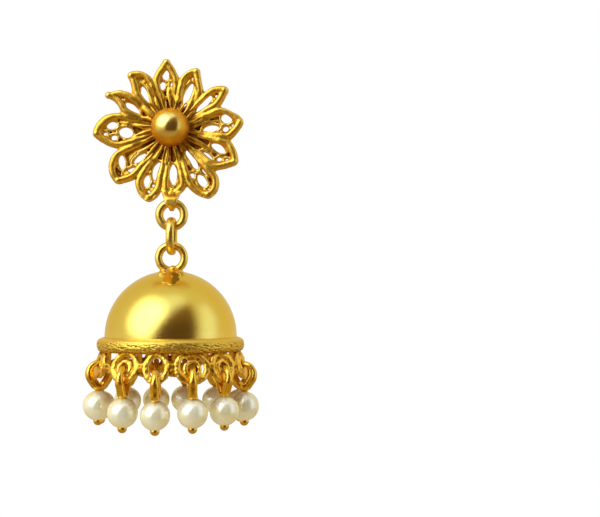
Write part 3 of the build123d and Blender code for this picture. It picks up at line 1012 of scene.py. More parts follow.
    def _width(self, point: Vector) -> float:
        """The border wire's half width: thin at the hub, and a little uneven.

        Args:
            point: The point, as X and Z.

        Returns:
            The half width there.
        """
        share = min(1.0, max(0.0, (point.length - self.hub_radius) / self.border_growth))
        wave = noise.noise(Vector((point.x * 0.45, point.y * 0.45, 2.0)))
        return (self.root_wire + (self.border_wire - self.root_wire) * share) * (1 + self.border_waver * wave)

    def _border(self, petal: Petal, end: Polar) -> list[Station]:
        """The petal's outer wire: from the hub up its near side, round the tip and back.

        Args:
            petal: The petal.
            end: The notch after it.

        Returns:
            The wire's stops.
        """
        near, far = self._sides(petal, end, self.border_wire)
        root_near = Polar(petal.notch.degrees + self.root_angle, self.hub_radius).flat()
        root_far = Polar(end.degrees - self.root_angle, self.hub_radius).flat()
        rise = [root_near.lerp(near[0], i / 5) for i in range(5)]
        fall = [far[-1].lerp(root_far, i / 5) for i in range(1, 6)]
        tip = self._tip_inside(petal, end, self.border_wire)
        line = self._drawn([*rise, *near[:-1], tip, *far[1:], *fall])
        stations = []
        for i, point in enumerate(line):
            size = self._width(point)
            root = 1 - eased(point.length, *self.root_range)
            sink = (self.root_sink + self.overlap * (1 - i / len(line))) * root
            through = self.flatness * size
            stations.append(Station(at_depth(point, through + sink - self.top), size, through))
        return Bench.rounded(stations)

    @staticmethod
    def _drawn(line: Sequence[Vector]) -> list[Vector]:
        """The line with its inner points drawn a little towards their neighbours."""
        inner = [b * 0.5 + (a + c) * 0.25 for a, b, c in zip(line, line[1:], line[2:])]
        return [line[0], *inner, line[-1]]

    def _opening_rim(self, bm: BMesh, petal: Petal, opening: Opening) -> None:
        """Lays a thin wire round a hole.

        Args:
            bm: The mesh that it is added to.
            petal: The petal.
            opening: The hole.
        """
        along, across = petal.axes(opening.lean)
        ring = arc(petal.local(opening.out, opening.side), along * (opening.length / 2 + self.opening_gap),
                   across * (opening.width / 2 + self.opening_gap), 0, math.tau, 20)[:-1]
        line = [at_depth(point, self.opening_y) for point in ring]
        Bench.wire(bm, even(line, self.opening_wire, self.opening_wire * 1.3), FRONT, closed=True, sides=10)

    def _ridge(self, bm: BMesh, petal: Petal, ridge: Ridge) -> None:
        """Lays a ridge that is widest in its middle and sinks towards its end.

        Args:
            bm: The mesh that it is added to.
            petal: The petal that it belongs to.
            ridge: Its line and width.
        """
        points = [petal.local(*place) for place in ridge.line]
        line = [points[0].normalized() * self.hub_radius]
        for start, end in zip([line[0], *points], points):
            line += [start.lerp(end, i / 4) for i in range(1, 5)]
        line = self._drawn(self._drawn(line))
        stations = []
        for step, point in enumerate(line):
            share = step / (len(line) - 1)
            size = ridge.half_width * (0.55 + 0.45 * math.sin(math.pi * min(1.0, 0.15 + share)))
            if self._in_opening(petal, point):
                size = min(size, self.ridge_in_opening)
            through = self.ridge_flatness * size
            place = at_depth(point, through + self.ridge_y + self.ridge_fall * share)
            stations.append(Station(place, size, through))
        Bench.wire(bm, Bench.rounded(stations), FRONT, sides=12)

    @staticmethod
    def _in_opening(petal: Petal, point: Vector) -> bool:
        """Whether a point lies in or right beside one of the petal's openings.

        Args:
            petal: The petal.
            point: The point, as X and Z.

        Returns:
            True if it does.
        """
        for opening in petal.openings:
            away = point - petal.local(opening.out, opening.side)
            shares = [away.dot(axis) / (size / 2 + 0.05)
                      for axis, size in zip(petal.axes(opening.lean), (opening.length, opening.width))]
            if math.hypot(*shares) < 1:
                return True
        return False

    def _ball(self) -> None:
        """Builds the ball, seated flat on the web."""
        bm = bmesh.new()
        Bench.ball(bm, Vector((0, self.ball_y, 0)), (self.ball_radius,) * 3, rows=48)
        Bench.cut(bm, Vector((0, self.ball_seat, 0)), -FRONT)
        self.fitter.fit(bm, "flower_ball", Body.STUD, BallGold(), "centre_ball")

    def _post(self) -> None:
        """Builds the ear post with its rounded end."""
        bm = bmesh.new()
        line = [Vector((0, y, 0)) for y in np.linspace(0.0, self.post_length - self.post_radius, 12)]
        stations = Bench.rounded(even(line, self.post_radius))[len(Bench.dome):]
        Bench.wire(bm, stations, UP, sides=24)
        bright = Gold("gold_post", Slot.BRIGHT, roughness=0.18)
        self.fitter.fit(bm, "ear_post_rod", Body.STUD, bright, "ear_post")


# --- the chain
@dataclass
class Chain:
    """The jump ring, the oval link and the ring on the dome."""

    fitter: Fitter
    jump_z: float = -12.45
    jump_radius: float = 1.77
    jump_wire: float = 0.6
    dome_z: float = -18.6
    dome_radius: float = 1.83
    dome_wire: float = 0.56
    polish: float = 0.985
    seat_z: float = -20.3
    link_thick: float = 0.42
    link_wide: float = 0.6
    link_width: float = 4.75
    gap: float = 0.06

    def build(self) -> None:
        """Builds the three pieces."""
        gold = Gold("gold_ring", Slot.WIRE, (0.86, 0.50, 0.035), roughness=0.29, roughness_spread=0.08)
        jump = self._ring(self.jump_z, self.jump_radius, self.jump_wire, 3.1)
        self.fitter.fit(jump, "jump_ring_wire", Body.JUMP_RING, gold, "jump_ring")
        ring = self._ring(self.dome_z, self.dome_radius, self.dome_wire, 7.4)
        Bench.cut(ring, Vector((0, 0, self.seat_z)), -UP)
        self.fitter.fit(ring, "dome_ring_wire", Body.DROP, gold, "dome_ring")
        self.fitter.fit(self._link(), "oval_link", Body.LINK, gold, "connecting_link")

    def _ring(self, z: float, radius: float, wire: float, seed: float) -> BMesh:
        """A ring that faces the front, spun from a circle.

        Args:
            z: Height of its centre.
            radius: Radius of its centre line.
            wire: Half thickness of its wire.
            seed: Which pattern its unevenness has.

        Returns:
            The mesh.
        """
        bm = bmesh.new()
        place = Matrix.Translation((CHAIN_X + radius, CHAIN_Y, z))
        loop = bmesh.ops.create_circle(bm, segments=32, radius=wire * self.polish, matrix=place)["verts"]
        edges = list(dict.fromkeys(edge for vert in loop for edge in vert.link_edges))
        Bench.spun(bm, [*loop, *edges], Vector((CHAIN_X, CHAIN_Y, z)), -FRONT, 96)
        Bench.uneven(bm, 0.03, 0.9, seed)
        return bm

    def _link(self) -> BMesh:
        """The upright oval of flattened wire.

        Returns:
            The mesh.
        """
        reach = self.link_width / 2 - self.link_thick
        top = self.jump_z - self.jump_radius + self.jump_wire + self.gap + self.link_thick - reach
        bottom = self.dome_z + self.dome_radius - self.dome_wire - self.gap - self.link_thick + reach
        line = []
        for z, start in ((top, 0.0), (bottom, math.pi)):
            line += arc(Vector((CHAIN_X, CHAIN_Y, z)), -FRONT * reach, UP * reach, start, start + math.pi, 24)
        bm = bmesh.new()
        Bench.wire(bm, even(line, self.link_thick, self.link_wide), RIGHT, closed=True, sides=28)
        bmesh.ops.remove_doubles(bm, verts=bm.verts, dist=0.001)
        bmesh.ops.recalc_face_normals(bm, faces=bm.faces)
        Bench.uneven(bm, 0.025, 1.0, 5.2)
        return bm


# --- the bell
class Blob(NamedTuple):
    """A blob of solder on the crown: its place off the chain's line, its lift, and its half sizes."""

    x: float
    y: float
    lift: float
    wide: float
    long: float
    high: float


SOLDER = (
    Blob(0.4, -1.4, 0.24, 0.6, 0.55, 0.56), Blob(-0.75, -0.75, 0.03, 0.75, 0.5, 0.2),
    Blob(0.95, -0.7, 0.03, 0.6, 0.5, 0.22), Blob(-0.6, -1.8, 0.04, 0.6, 0.8, 0.16),
    Blob(0.75, -1.9, 0.04, 0.55, 0.8, 0.16), Blob(1.45, -1.3, 0.06, 0.35, 0.35, 0.2),
    Blob(0.1, -2.5, 0.02, 0.8, 0.8, 0.15), Blob(0.0, 0.75, 0.05, 1.2, 0.5, 0.22),
    Blob(1.25, 0.1, 0.05, 0.4, 0.5, 0.26), Blob(-1.3, 0.0, 0.05, 0.4, 0.5, 0.24),
    Blob(0.9, -3.4, -0.04, 0.75, 0.9, 0.11), Blob(-0.2, -3.4, -0.04, 0.75, 0.9, 0.11),
    Blob(1.15, -4.6, -0.07, 0.65, 0.9, 0.1), Blob(-0.1, -4.6, -0.07, 0.75, 0.9, 0.1),
    Blob(0.75, -5.4, -0.08, 0.7, 0.7, 0.09), Blob(-0.2, -5.2, -0.08, 0.6, 0.5, 0.09))


@dataclass
class Bell:
    """The dome with its crown solder, and the chased rim band."""

    fitter: Fitter
    radius: float = 9.35
    wall: float = 0.5
    centre_z: float = -29.8
    skirt: float = 1.35
    pad_radius: float = 1.5
    pad_top: float = -20.3
    rim_radius: float = 10.48
    rim_top: float = -29.9
    rim_bottom: float = -31.8
    rim_curve: float = 0.70
    rim_drop: float = 0.1
    seat_gap: float = 0.03
    lip_radius: float = 8.9
    face_depth: float = 0.75
    face_height: float = 0.72
    strike_depth: float = 0.085
    strike_sink: float = 0.05
    # Painted shade along the band's lower edge.
    band_edge_painted_shade: PaintedShade = PaintedShade(0.8, 0.3, 0.02)
    # Painted shade and reflection of the ring, on the right of the solder streak.
    streak_painted_shade: PaintedShade = PaintedShade(0.95, -0.2, 0.3)
    streak_start: tuple[float, float] = (2.2, 3.2)
    streak_lean: float = 0.12

    def build(self) -> None:
        """Builds the dome, its solder and the rim band."""
        satin = Gold("gold_dome", Slot.SATIN, (0.85, 0.62, 0.076), roughness=0.20, roughness_spread=0.05,
                     patch_scale=120.0, pit_scale=9000.0, pit_height=0.000012, dent_scale=150.0,
                     dent_height=0.00005)
        self.fitter.fit(self._dome(), "dome_shell", Body.DROP, satin, "dome")
        # The solder's crease colour is painted shade.
        solder = Gold("gold_solder", Slot.WIRE, (0.84, 0.45, 0.02), crease=(0.26, 0.13, 0.003),
                      roughness=0.34)
        # The streak's painted shade and reflection are added to the solder's creases.
        depths = Depth("crease", 6, 0.05, self._streak_painted_shade), Depth("hollow", 14, 0.15)
        self.fitter.fit(self._solder(), "crown_solder", Body.DROP, solder, None, depths)
        band = Gold("gold_rim", Slot.SATIN, (0.78, 0.49, 0.033), roughness=0.40, pit_height=0.00005,
                    dent_height=0.00008)
        # The band's creases carry the painted shade along its lower edge.
        depths = Depth("crease", 3, 0.02, self._band_edge_painted_shade), Depth("hollow", 8, 0.08)
        self.fitter.fit(self._rim(), "chased_rim", Body.DROP, band, "rim_band", depths)

    def _band_edge_painted_shade(self, places: np.ndarray) -> np.ndarray:
        """Paints shade along the band's lower edge."""
        return self.band_edge_painted_shade.at(places[:, 2] - self.rim_bottom)

    def _streak_painted_shade(self, places: np.ndarray) -> np.ndarray:
        """The solder that ran down the front of the crown is dark on its right: solder residue, with the
        ring's shade and reflection painted over it.

        Args:
            places: The points of the solder.

        Returns:
            How dark each one is.
        """
        ahead = CHAIN_Y - places[:, 1]
        right = places[:, 0] - CHAIN_X - self.streak_lean * ahead
        return self.streak_painted_shade.at(right) * eased(ahead, *self.streak_start)

    def _dome(self) -> BMesh:
        """The half-sphere shell with a straight skirt and a small pad on top.

        Returns:
            The mesh.
        """
        inner, low = self.radius - self.wall, self.centre_z - self.skirt
        middle, quarter = Vector((0, self.centre_z)), math.pi / 2
        outside, hollow = (arc(middle, Vector((size, 0)), Vector((0, size)), 0, quarter, 48)
                           for size in (self.radius, inner))
        outside = [point for point in outside if point.x > self.pad_radius + 0.25]
        pad = [(self.pad_radius + out, self.pad_top - down)
               for out, down in ((0.1, 0.17), (0, 0.05), (-0.1, 0))]
        return Bench.turned([(self.radius, low), *outside, *pad, (0.0, self.pad_top), *reversed(hollow),
                             (inner, low)], 192)

    def _solder(self) -> BMesh:
        """The granule in front of the ring's foot and the solder that ran from it.

        Returns:
            The mesh.
        """
        bm = bmesh.new()
        for blob in SOLDER:
            slope = math.asin(math.hypot(blob.x, blob.y) / self.radius)
            height = self.centre_z + self.radius * math.cos(slope) + blob.lift
            lean = Quaternion(Vector((-blob.y, blob.x, 0.0)).normalized(), slope)
            Bench.ball(bm, Vector((CHAIN_X + blob.x, CHAIN_Y + blob.y, height)), blob[3:], lean)
        return Bench.melted(bm, 0.07, 2, 0.03)

    def _rim(self) -> BMesh:
        """The band: a smooth lip above, and a chased face below it.

        Returns:
            The mesh.
        """
        seat, foot = self.radius + self.seat_gap, self.centre_z - self.skirt - 0.01
        half = (self.rim_top - self.rim_bottom) / 2
        middle = Vector((self.rim_radius - self.face_height, self.rim_bottom + half - self.rim_drop))
        start, end = math.radians(60), math.radians(-80)
        face = arc(middle, Vector((self.rim_curve, 0)), Vector((0, half)), start, end, 28)
        bm = Bench.turned([
            (seat, self.rim_top - 0.02), (seat + 0.25, self.rim_top), *face,
            (self.rim_radius - self.face_depth, self.rim_bottom), (self.lip_radius, self.rim_bottom),
            (self.lip_radius, foot), (seat, foot)], 480)
        self._chase(bm)
        return bm

    def _chase(self, bm: BMesh) -> None:
        """Strikes slanting dents into the band's face.

        Args:
            bm: The band.
        """
        for vert in bm.verts:
            away = Vector((vert.co.x - CHAIN_X, vert.co.y - CHAIN_Y))
            if away.length < self.rim_radius - self.face_depth:
                continue
            turn = math.atan2(away.y, away.x) * self.rim_radius
            height = vert.co.z - self.rim_bottom
            mask = max(0.0, 1 - ((height - self.face_height) / self.face_height) ** 4)
            strike = noise.noise(Vector((turn * 1.3 + height * 2.0, height * 3.8, 3.0)))
            strike += 0.8 * noise.noise(Vector((turn * 3.1 - height * 1.4, height * 6.0, 9.0)))
            away *= 1 + (strike * self.strike_depth - self.strike_sink) * mask / away.length
            vert.co.xy = CHAIN_X + away.x, CHAIN_Y + away.y


# --- the fringe
@dataclass(frozen=True)
class Drop:
    """One pearl drop, the loop that it hangs in, and how far the eye's foot spreads on the pearl."""

    azimuth: float
    width: float
    height: float
    ringed: bool
    reach: float
    twist: float
    lean: float
    pearl: float
    foot: float = 0.8


DROPS = (
    Drop(-66, 4.4, 3.6, True, 10.4, 6, 1.0, 4.15),
    Drop(-30, 4.6, 4.15, True, 10.5, 18, 1.0, 4.1, 0.58),
    Drop(-4, 3.6, 4.15, False, 10.5, 6, 0.5, 4.0, 1.12),
    Drop(23, 5.0, 4.15, True, 10.5, -17, 0.0, 4.1, 1.12),
    Drop(50, 4.5, 4.15, True, 10.5, -18, -1.0, 4.05, 0.58),
    Drop(80, 4.3, 3.95, True, 10.7, -4, -1.0, 4.15),
    Drop(115, 4.6, 4.1, True, 10.5, 10, 1.5, 4.1),
    Drop(147, 4.4, 4.15, True, 10.5, -12, -1.0, 4.0),
    Drop(175.5, 4.3, 4.1, True, 10.55, 10, 0.0, 4.1),
    Drop(199, 3.9, 4.15, True, 10.5, -12, 0.0, 4.05),
    Drop(224, 4.4, 4.1, True, 10.5, 12, -1.0, 4.05),
    Drop(260, 4.7, 4.15, True, 10.5, -6, 1.0, 4.15),
)


def wrapped(degrees: np.ndarray | float) -> np.ndarray | float:
    """An angle brought between -180 and 180 degrees."""
    return (degrees + 180) % 360 - 180


@dataclass
class Fringe:
    """The soldered loops under the rim and the pearl drops that hang in them.

    Each lump of solder is given by its share of the way across the gap, its lift and its share of the
    tallest one's height.
    """

    fitter: Fitter
    rim_bottom: float = -31.8
    top_radius: float = 9.65
    flare: float = 15.0
    band: float = 0.75
    band_waver: float = 0.25
    plump: float = 1.05
    plump_growth: float = 0.35
    depth: float = 0.7
    waist: float = 2.0
    apex: float = 0.5
    edge_degrees: float = 3.0
    ring_radius: float = 1.32
    ring_wire: float = 0.37
    saddle: float = 0.75
    sink: float = 0.08
    lumps: tuple[tuple[float, float, float], ...] = ((0.5, -0.2, 1.0), (0.25, 0.15, 0.6), (0.78, -0.6, 0.62))
    lump_share: float = 0.42
    lump_overlap: float = 0.12
    lump_depth: float = 0.34
    front_lump: float = 0.9
    back_lump: float = 0.55
    # Painted shadow under the rim, and painted shade between the loops and inside the small rings.
    under_rim_painted_shadow: PaintedShade = PaintedShade(0.85, -0.7, -0.1)
    joint_painted_shade: PaintedShade = PaintedShade(0.6, 3.8, 1.6)
    ring_hole_painted_shade: PaintedShade = PaintedShade(0.8, 1.1, 0.7)
    eye_wire: float = 0.42
    eye_thick: float = 0.48
    eye_top: float = 1.43
    eye_bottom: float = 0.80
    eye_width: float = 0.62
    eye_height: float = 3.35
    eye_slack: float = 0.17
    eye_shoulder: float = 0.9
    pressed: float = 0.34
    shank: float = 0.4
    drill: float = 0.43
    ball_end: float = 0.65
    clearance: float = 0.03
    pearl_gap: float = 0.04
    end_gap: float = 0.02
    polish: float = 0.003

    def build(self) -> None:
        """Builds the fringe and the twelve drops."""
        skin = Bench.melted(self._loops(), 0.095, 3, 0.06)
        Bench.uneven(skin, 0.09, 0.8, 2.0)
        Bench.uneven(skin, 0.06, 0.38, 6.0)
        Bench.cut(skin, Vector((0, 0, self.rim_bottom - 0.01)), UP)
        Bench.kept_in(skin, "loop_fringe")
        gold = Gold("gold_loops", Slot.WIRE, (0.97, 0.58, 0.052), roughness=0.34)
        # The painted shadow and shade at the rim, the joints and the rings' holes are added at both scales.
        depths = Depth("crease", 8, 0.09, self._joint_painted_shade), Depth("hollow", 24, 0.30, self._joint_painted_shade)
        self.fitter.fit(skin, "loop_fringe_casting", Body.DROP, gold, "loop_fringe", depths)
        for number, drop in enumerate(DROPS, start=1):
            self._pin(number, drop)
            self._pearl(number, drop)

    def _joint_painted_shade(self, places: np.ndarray) -> np.ndarray:
        """Paints shadow under the rim, and shade on the solder between the loops and in the small rings'
        holes.

        Args:
            places: The points of the fringe.

        Returns:
            How dark each one is.
        """
        dark = self.under_rim_painted_shadow.at(places[:, 2] - self.rim_bottom)
        turn = np.degrees(np.arctan2(places[:, 0] - CHAIN_X, CHAIN_Y - places[:, 1]))
        for drop, following in zip(DROPS, DROPS[1:] + DROPS[:1]):
            edge = drop.azimuth + drop.width * self.edge_degrees
            gap = wrapped(following.azimuth - following.width * self.edge_degrees - edge)
            dark = np.maximum(dark, self.joint_painted_shade.at(np.abs(wrapped(turn - edge - gap / 2))))
            if drop.ringed:
                away = places - np.array(self._at_rim(drop) @ self._ring_middle(drop))
                dark = np.maximum(dark, self.ring_hole_painted_shade.at(np.linalg.norm(away, axis=1)))
        return dark

    def _ring_middle(self, drop: Drop) -> Vector:
        """The centre of the small ring, in the loop's own frame."""
        return Vector((0, self.ring_radius - drop.height + self.band - self.sink, 0))

    def _at_rim(self, drop: Drop) -> Matrix:
        """The loop's own frame: X along the rim, Y up the flared plane, Z inward.

        Args:
            drop: The drop that hangs in the loop.

        Returns:
            The frame's place.
        """
        turn = Matrix.Rotation(math.radians(drop.azimuth), 4, "Z")
        tilt = Matrix.Rotation(math.radians(90 - self.flare), 4, "X")
        line = Matrix.Translation((CHAIN_X, CHAIN_Y, self.rim_bottom))
        return line @ turn @ Matrix.Translation((0, -self.top_radius, 0)) @ tilt

    def _onion(self, drop: Drop) -> list[Vector]:
        """The loop's centre line: pointed above, round below.

        Args:
            drop: The drop that hangs in the loop.

        Returns:
            Its points, in the loop's own frame.
        """
        half, bottom = drop.width / 2 - self.band / 2, drop.height - self.band / 2
        up = Vector((0, 1, 0))
        rise = self.apex - 0.8 * self.band + self.waist
        bend = (half * half + rise * rise) / (2 * half)
        centre, turn = Vector((half - bend, -self.waist, 0)), math.asin(rise / bend)
        right = arc(centre, RIGHT * bend, up * bend, 0, turn, 8)
        left = [Vector((-point.x, point.y, 0)) for point in reversed(right)]
        below = arc(up * -self.waist, RIGHT * half, up * (bottom - self.waist), math.pi, math.tau, 16)
        return right + left[1:] + below[1:-1]

    def _loops(self) -> BMesh:
        """Every loop, inner ring, saddle and solder bar.

        Returns:
            The overlapping shells.
        """
        bm = bmesh.new()
        half = self.band / 2
        for drop, following in zip(DROPS, DROPS[1:] + DROPS[:1]):
            place = self._at_rim(drop)
            stations = []
            for point in self._onion(drop):
                share = min(1.0, max(0.0, -point.y / drop.height))
                wave = noise.noise(Vector((point.x * 0.5, point.y * 0.5, drop.azimuth)))
                size = half * (self.plump + self.plump_growth * share + self.band_waver * wave)
                stations.append(Station(place @ point, size, self.depth / 2))
            Bench.wire(bm, stations, place.to_3x3() @ UP, closed=True)
            self._foot(bm, drop, place)
            start = place @ Vector((drop.width / 2 - half, -self.waist, 0))
            end = self._at_rim(following) @ Vector((half - following.width / 2, -self.waist, 0))
            self._solder(bm, start, end, self.front_lump if abs(drop.azimuth) < 60 else self.back_lump)
        return bm

    def _foot(self, bm: BMesh, drop: Drop, place: Matrix) -> None:
        """Adds the small ring soldered in the loop, or the lump of solder where there is none.

        Args:
            bm: The mesh that it is added to.
            drop: The drop that hangs there.
            place: The loop's own frame.
        """
        if not drop.ringed:
            Bench.ball(bm, place @ Vector((0, self.band / 2 - drop.height, 0)), (self.saddle,) * 3)
            return
        radius = self.ring_radius - self.ring_wire
        ring = arc(self._ring_middle(drop), RIGHT * radius, Vector((0, radius, 0)), 0, math.tau, 28)[:-1]
        line = [place @ point for point in ring]
        Bench.wire(bm, even(line, self.ring_wire), place.to_3x3() @ UP, closed=True)

    def _solder(self, bm: BMesh, start: Vector, end: Vector, height: float) -> None:
        """Fills the gap between two loops with lumps of solder.

        Args:
            bm: The mesh that it is added to.
            start: The side of one loop.
            end: The side of the next.
            height: Half the tallest lump's height.
        """
        across = end - start
        half = across.length * self.lump_share + self.lump_overlap
        for share, lift, tall in self.lumps:
            at, radii = start.lerp(end, share) + UP * lift, (half, self.lump_depth, tall * height)
            Bench.ball(bm, at, radii, across.to_track_quat("X", "Z"))

    def _hook_depth(self, drop: Drop) -> float:
        """How far down the loop's plane the wire lies that the drop hangs on.

        Args:
            drop: The drop.

        Returns:
            The depth under the rim.
        """
        if drop.ringed:
            return drop.height - self.band - 2 * self.ring_wire + self.sink
        return drop.height - self.band / 2 - self.saddle

    def _hung(self, drop: Drop) -> Matrix:
        """The drop's frame, where its eye's centre line starts at the origin and hangs down.

        Args:
            drop: The drop.

        Returns:
            The frame's place.
        """
        hook = self.rim_bottom - self._hook_depth(drop) * math.cos(math.radians(self.flare))
        place = Matrix.Translation((CHAIN_X, CHAIN_Y, hook + self.eye_slack + self.eye_wire))
        place = place @ Matrix.Rotation(math.radians(drop.azimuth), 4, "Z")
        place = place @ Matrix.Translation((0, -drop.reach, 0))
        lean = Matrix.Rotation(math.radians(drop.lean), 4, "Y")
        return place @ lean @ Matrix.Rotation(math.radians(drop.twist), 4, "Z")

    def _eye(self, drop: Drop) -> list[Station]:
        """The eye, in the YZ plane: thin where it hooks, and full below.

        Args:
            drop: The drop.

        Returns:
            The wire's stops.
        """
        low = min(self.eye_bottom, drop.foot)
        square = low / drop.foot
        sunk = self.pressed if drop.foot != self.eye_bottom else 0.0
        upper, lower = -self.eye_top, low - self.eye_height - sunk
        slope = math.asin((self.eye_top - low) / (upper - lower)) * square
        line = arc(UP * upper, -FRONT * self.eye_top, UP * self.eye_top, -slope, math.pi + slope, 20)
        for turn in np.linspace(math.pi + slope, math.tau - slope, 15):
            across, down = (math.copysign(abs(value) ** square, value)
                            for value in (math.cos(turn), math.sin(turn)))
            line.append(Vector((0, drop.foot * across, lower + low * down)))
        stations = []
        for point in line:
            share = min(1.0, max(0.0, -point.z / self.eye_shoulder - 1))
            size = self.eye_wire + (self.eye_thick - self.eye_wire) * share
            stations.append(Station(point, size, size + (self.eye_width - self.eye_thick) * share))
        return stations

    def _depths(self, drop: Drop) -> tuple[float, float]:
        """Heights of the pearl's centre and the pin's end, in the drop's frame."""
        centre = -self.eye_height - self.eye_wire - self.pearl_gap - drop.pearl / 2
        return centre, centre - drop.pearl / 2 - self.end_gap

    def _pin(self, number: int, drop: Drop) -> None:
        """Builds the headpin: eye, shank and the ball melted on its end.

        Args:
            number: The drop's number.
            drop: The drop.
        """
        bm = bmesh.new()
        Bench.wire(bm, self._eye(drop), RIGHT, closed=True)
        centre, end = self._depths(drop)
        line = [Vector((0, 0, z)) for z in np.linspace(-self.eye_height, end, 16)]
        Bench.wire(bm, even(line, self.shank), RIGHT)
        Bench.ball(bm, Vector((0, 0, end)), (self.ball_end,) * 3)
        skin = Bench.melted(bm, 0.085, 2, 0.02)
        self._press(skin, Vector((0, 0, centre)), drop.pearl / 2 + self.clearance)
        Bench.uneven(skin, 0.03, 0.8, number * 3.0)
        bmesh.ops.transform(skin, matrix=self._hung(drop), verts=skin.verts)
        gold = Gold("gold_pins", Slot.WIRE, (0.90, 0.535, 0.042), roughness=0.25, dent_height=0.00010)
        self.fitter.fit(skin, f"headpin_{number:02d}", Body.DROP, gold, f"drop_pin_{number:02d}")

    def _press(self, bm: BMesh, centre: Vector, radius: float) -> None:
        """Lays the eye's foot on the pearl: what would go into the pearl is moved out to its skin.

        Args:
            bm: The pin, upright.
            centre: The pearl's centre.
            radius: The pearl's radius with the clearance.
        """
        for vert in bm.verts:
            away = vert.co - centre
            if away.length < radius and math.hypot(vert.co.x, vert.co.y) > self.drill and away.z > 0:
                vert.co = centre + away.normalized() * radius

    def _pearl(self, number: int, drop: Drop) -> None:
        """Builds the drilled pearl, turned from an arc between its two mouths.

        Args:
            number: The drop's number.
            drop: The drop.
        """
        radius, (centre, end) = drop.pearl / 2 - self.polish, self._depths(drop)
        cup, reach = self.ball_end + self.clearance, centre - end
        top = math.acos(self.drill / radius)
        mouth = math.acos((radius ** 2 + reach ** 2 - cup ** 2) / (2 * radius * reach))
        low = mouth - math.pi / 2
        skin = arc(Vector((0, centre)), Vector((radius, 0)), Vector((0, radius)), top, low, 40)
        bm = Bench.turned([*skin, (self.drill, end + math.sqrt(cup ** 2 - self.drill ** 2))], 64, 0.0, 0.0)
        bmesh.ops.transform(bm, matrix=self._hung(drop), verts=bm.verts)
        self.fitter.fit(bm, f"pearl_bead_{number:02d}", Body.DROP, Nacre(), f"pearl_{number:02d}")


# --- the studio
class Panel(NamedTuple):
    """A soft oval of the studio's light, seen from the earring."""

    azimuth: float
    elevation: float
    half_width: float
    half_height: float
    roll: float
    strength: float
    softness: float


class Edge(NamedTuple):
    """One straight edge of the studio's dark part: two directions along it, and how soft it is."""

    start: tuple[float, float]
    end: tuple[float, float]
    softness: float


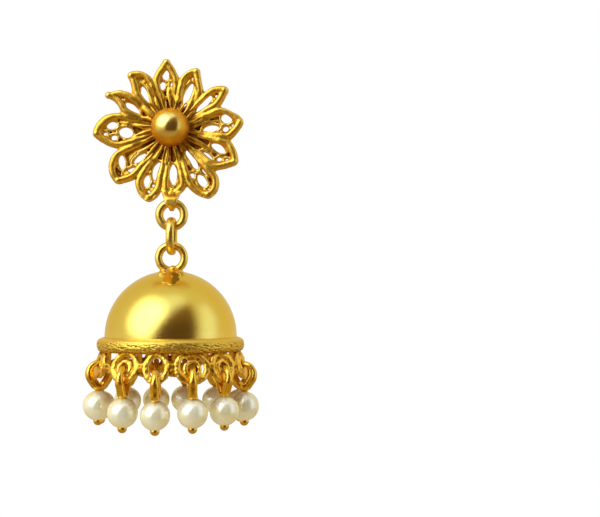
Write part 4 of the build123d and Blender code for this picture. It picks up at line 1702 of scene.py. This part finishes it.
@dataclass
class Studio:
    """The pale floor, the soft surrounding light and the camera.

    The dark part's edges run clockwise round it, as seen from the earring. Every direction is an azimuth
    from the front and an elevation.
    """

    floor_z: float = -85.0
    floor_radius: float = 140.0
    camera_at: tuple[float, float, float] = (18.56, -151.45, -24.6)
    camera_pitch: float = 2.25
    lens: float = 63.0
    ambient: float = 0.74
    below: float = 0.44
    dark: float = 0.10
    dark_above: float = 0.20
    ambient_tone: Colour = (1.0, 0.955, 0.85)
    below_tone: Colour = (1.0, 0.72, 0.40)
    back_tone: Colour = (1.0, 0.85, 0.50)
    dark_tone: Colour = (1.0, 0.56, 0.25)
    panel_tone: Colour = (0.82, 0.95, 1.40)
    roundness: float = 2.6
    shade: tuple[Edge, ...] = (
        Edge((-27, -24), (-20, 14), 0.06), Edge((-20, 14), (32, 54), 0.09), Edge((32, 57), (60, 54), 0.10),
        Edge((60, 54), (51, 0), 0.035), Edge((46, -24), (-32, -24), 0.08))
    panels: tuple[Panel, ...] = (
        Panel(-45, 32, 28, 31, 15, 2.2, 0.36), Panel(79, 16, 15, 30, 15, 0.42, 0.2),
        Panel(-10, 56, 32, 17, -40, 0.45, 0.25))

    def build(self) -> None:
        """Builds the whole studio."""
        self._floor()
        self._light()
        self._camera()
        bpy.context.scene.view_settings.view_transform = "Standard"

    def _floor(self) -> None:
        """Lays a pale round floor under the earring."""
        bm = bmesh.new()
        place = Matrix.Translation((0, 0, self.floor_z * METRES))
        radius = self.floor_radius * METRES
        bmesh.ops.create_circle(bm, cap_ends=True, segments=96, radius=radius, matrix=place)
        mesh = bpy.data.meshes.new("floor")
        bm.to_mesh(mesh)
        bm.free()
        mesh.materials.append(FloorCloth().make())
        floor = bpy.data.objects.new("floor", mesh)
        bpy.context.scene.collection.objects.link(floor)
        floor.visible_glossy = False

    def _light(self) -> None:
        """Paints soft panels and a dark side round the studio; the camera sees plain white."""
        world = bpy.data.worlds.new("studio")
        bpy.context.scene.world = world
        graph = Graph(world)
        way = graph.node("ShaderNodeTexCoord").outputs["Generated"]
        height = graph.along(way, UP)
        under, above = height.step(-0.1, -0.45), height.step(0.25, 0.8)
        tone = graph.mix(graph.along(way, -FRONT).step(0.05, 0.6), self.ambient_tone, self.back_tone)
        tone = graph.mix(under, tone, self.below_tone)
        level = self.ambient + under * (self.below - self.ambient)
        for panel in self.panels:
            lit = self._mask(graph, way, panel)
            level = level + lit * panel.strength
            tone = graph.mix(lit, tone, self.panel_tone)
        shade = self._dark_part(graph, way)
        tone = graph.mix(shade, tone, self.dark_tone)
        level = level * (1 - shade) + shade * (self.dark + above * (self.dark_above - self.dark))
        around = graph.node("ShaderNodeBackground", None, {"Color": tone, "Strength": level})
        plain = graph.node("ShaderNodeBackground", None, {"Color": (1.0, 1.0, 1.0), "Strength": 1.0})
        seen = graph.node("ShaderNodeLightPath").outputs["Is Camera Ray"]
        both = graph.node("ShaderNodeMixShader", None, {0: seen, 1: around.outputs[0], 2: plain.outputs[0]})
        graph.node("ShaderNodeOutputWorld", None, {"Surface": both.outputs[0]})

    def _dark_part(self, graph: Graph, way: NodeSocket) -> Signal:
        """The studio's dark part.

        Args:
            graph: The world's nodes.
            way: The direction looked in.

        Returns:
            1 inside all its edges and 0 outside.
        """
        inside = 1.0
        for edge in self.shade:
            start, end = (self._direction(*corner) for corner in (edge.start, edge.end))
            across = graph.along(way, end.cross(start).normalized())
            inside = across.step(-edge.softness, edge.softness) * inside
        return inside

    @staticmethod
    def _direction(azimuth: float, elevation: float) -> Vector:
        """The way to a point of the studio."""
        turn, rise = math.radians(azimuth), math.radians(elevation)
        return Vector((math.sin(turn) * math.cos(rise), -math.cos(turn) * math.cos(rise), math.sin(rise)))

    def _mask(self, graph: Graph, way: NodeSocket, panel: Panel) -> Signal:
        """Where a panel is seen.

        Args:
            graph: The world's nodes.
            way: The direction looked in.
            panel: The panel.

        Returns:
            1 inside the panel and 0 outside, with a soft edge.
        """
        turn = Matrix.Rotation(math.radians(panel.azimuth), 3, "Z")
        turn = turn @ Matrix.Rotation(math.radians(-panel.elevation), 3, "X")
        turn = turn @ Matrix.Rotation(math.radians(panel.roll), 3, "Y")
        front = graph.along(way, turn @ FRONT)
        depth = front.at_least(0.05)
        wide, high = (abs(graph.along(way, turn @ axis) / depth) / math.tan(math.radians(half))
                      for axis, half in ((RIGHT, panel.half_width), (UP, panel.half_height)))
        reach = (wide ** self.roundness + high ** self.roundness) ** (1 / self.roundness)
        return reach.step(1 + panel.softness, 1 - panel.softness) * front.step(0.0, 0.2)

    def _camera(self) -> None:
        """Sets the camera in front of the pair's middle, level with the chain's end."""
        data = bpy.data.cameras.new("camera")
        data.lens, data.sensor_width = self.lens, 36.0
        data.clip_start, data.clip_end = 0.01, 10.0
        camera = bpy.data.objects.new("camera", data)
        camera.location = Vector(self.camera_at) * METRES
        camera.rotation_euler = (math.radians(90 + self.camera_pitch), 0.0, 0.0)
        bpy.context.scene.collection.objects.link(camera)
        bpy.context.scene.camera = camera


def main() -> None:
    """Builds the earring and the studio, and logs each assembly as it is built."""
    logging.basicConfig(level=logging.INFO, format="%(name)s: %(message)s")
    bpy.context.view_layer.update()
    fitter = Fitter()
    for assembly in (FlowerStud(fitter), Chain(fitter), Bell(fitter), Fringe(fitter), Studio()):
        assembly.build()
        LOG.info("%s built", type(assembly).__name__)


if __name__ == "__main__":
    main()
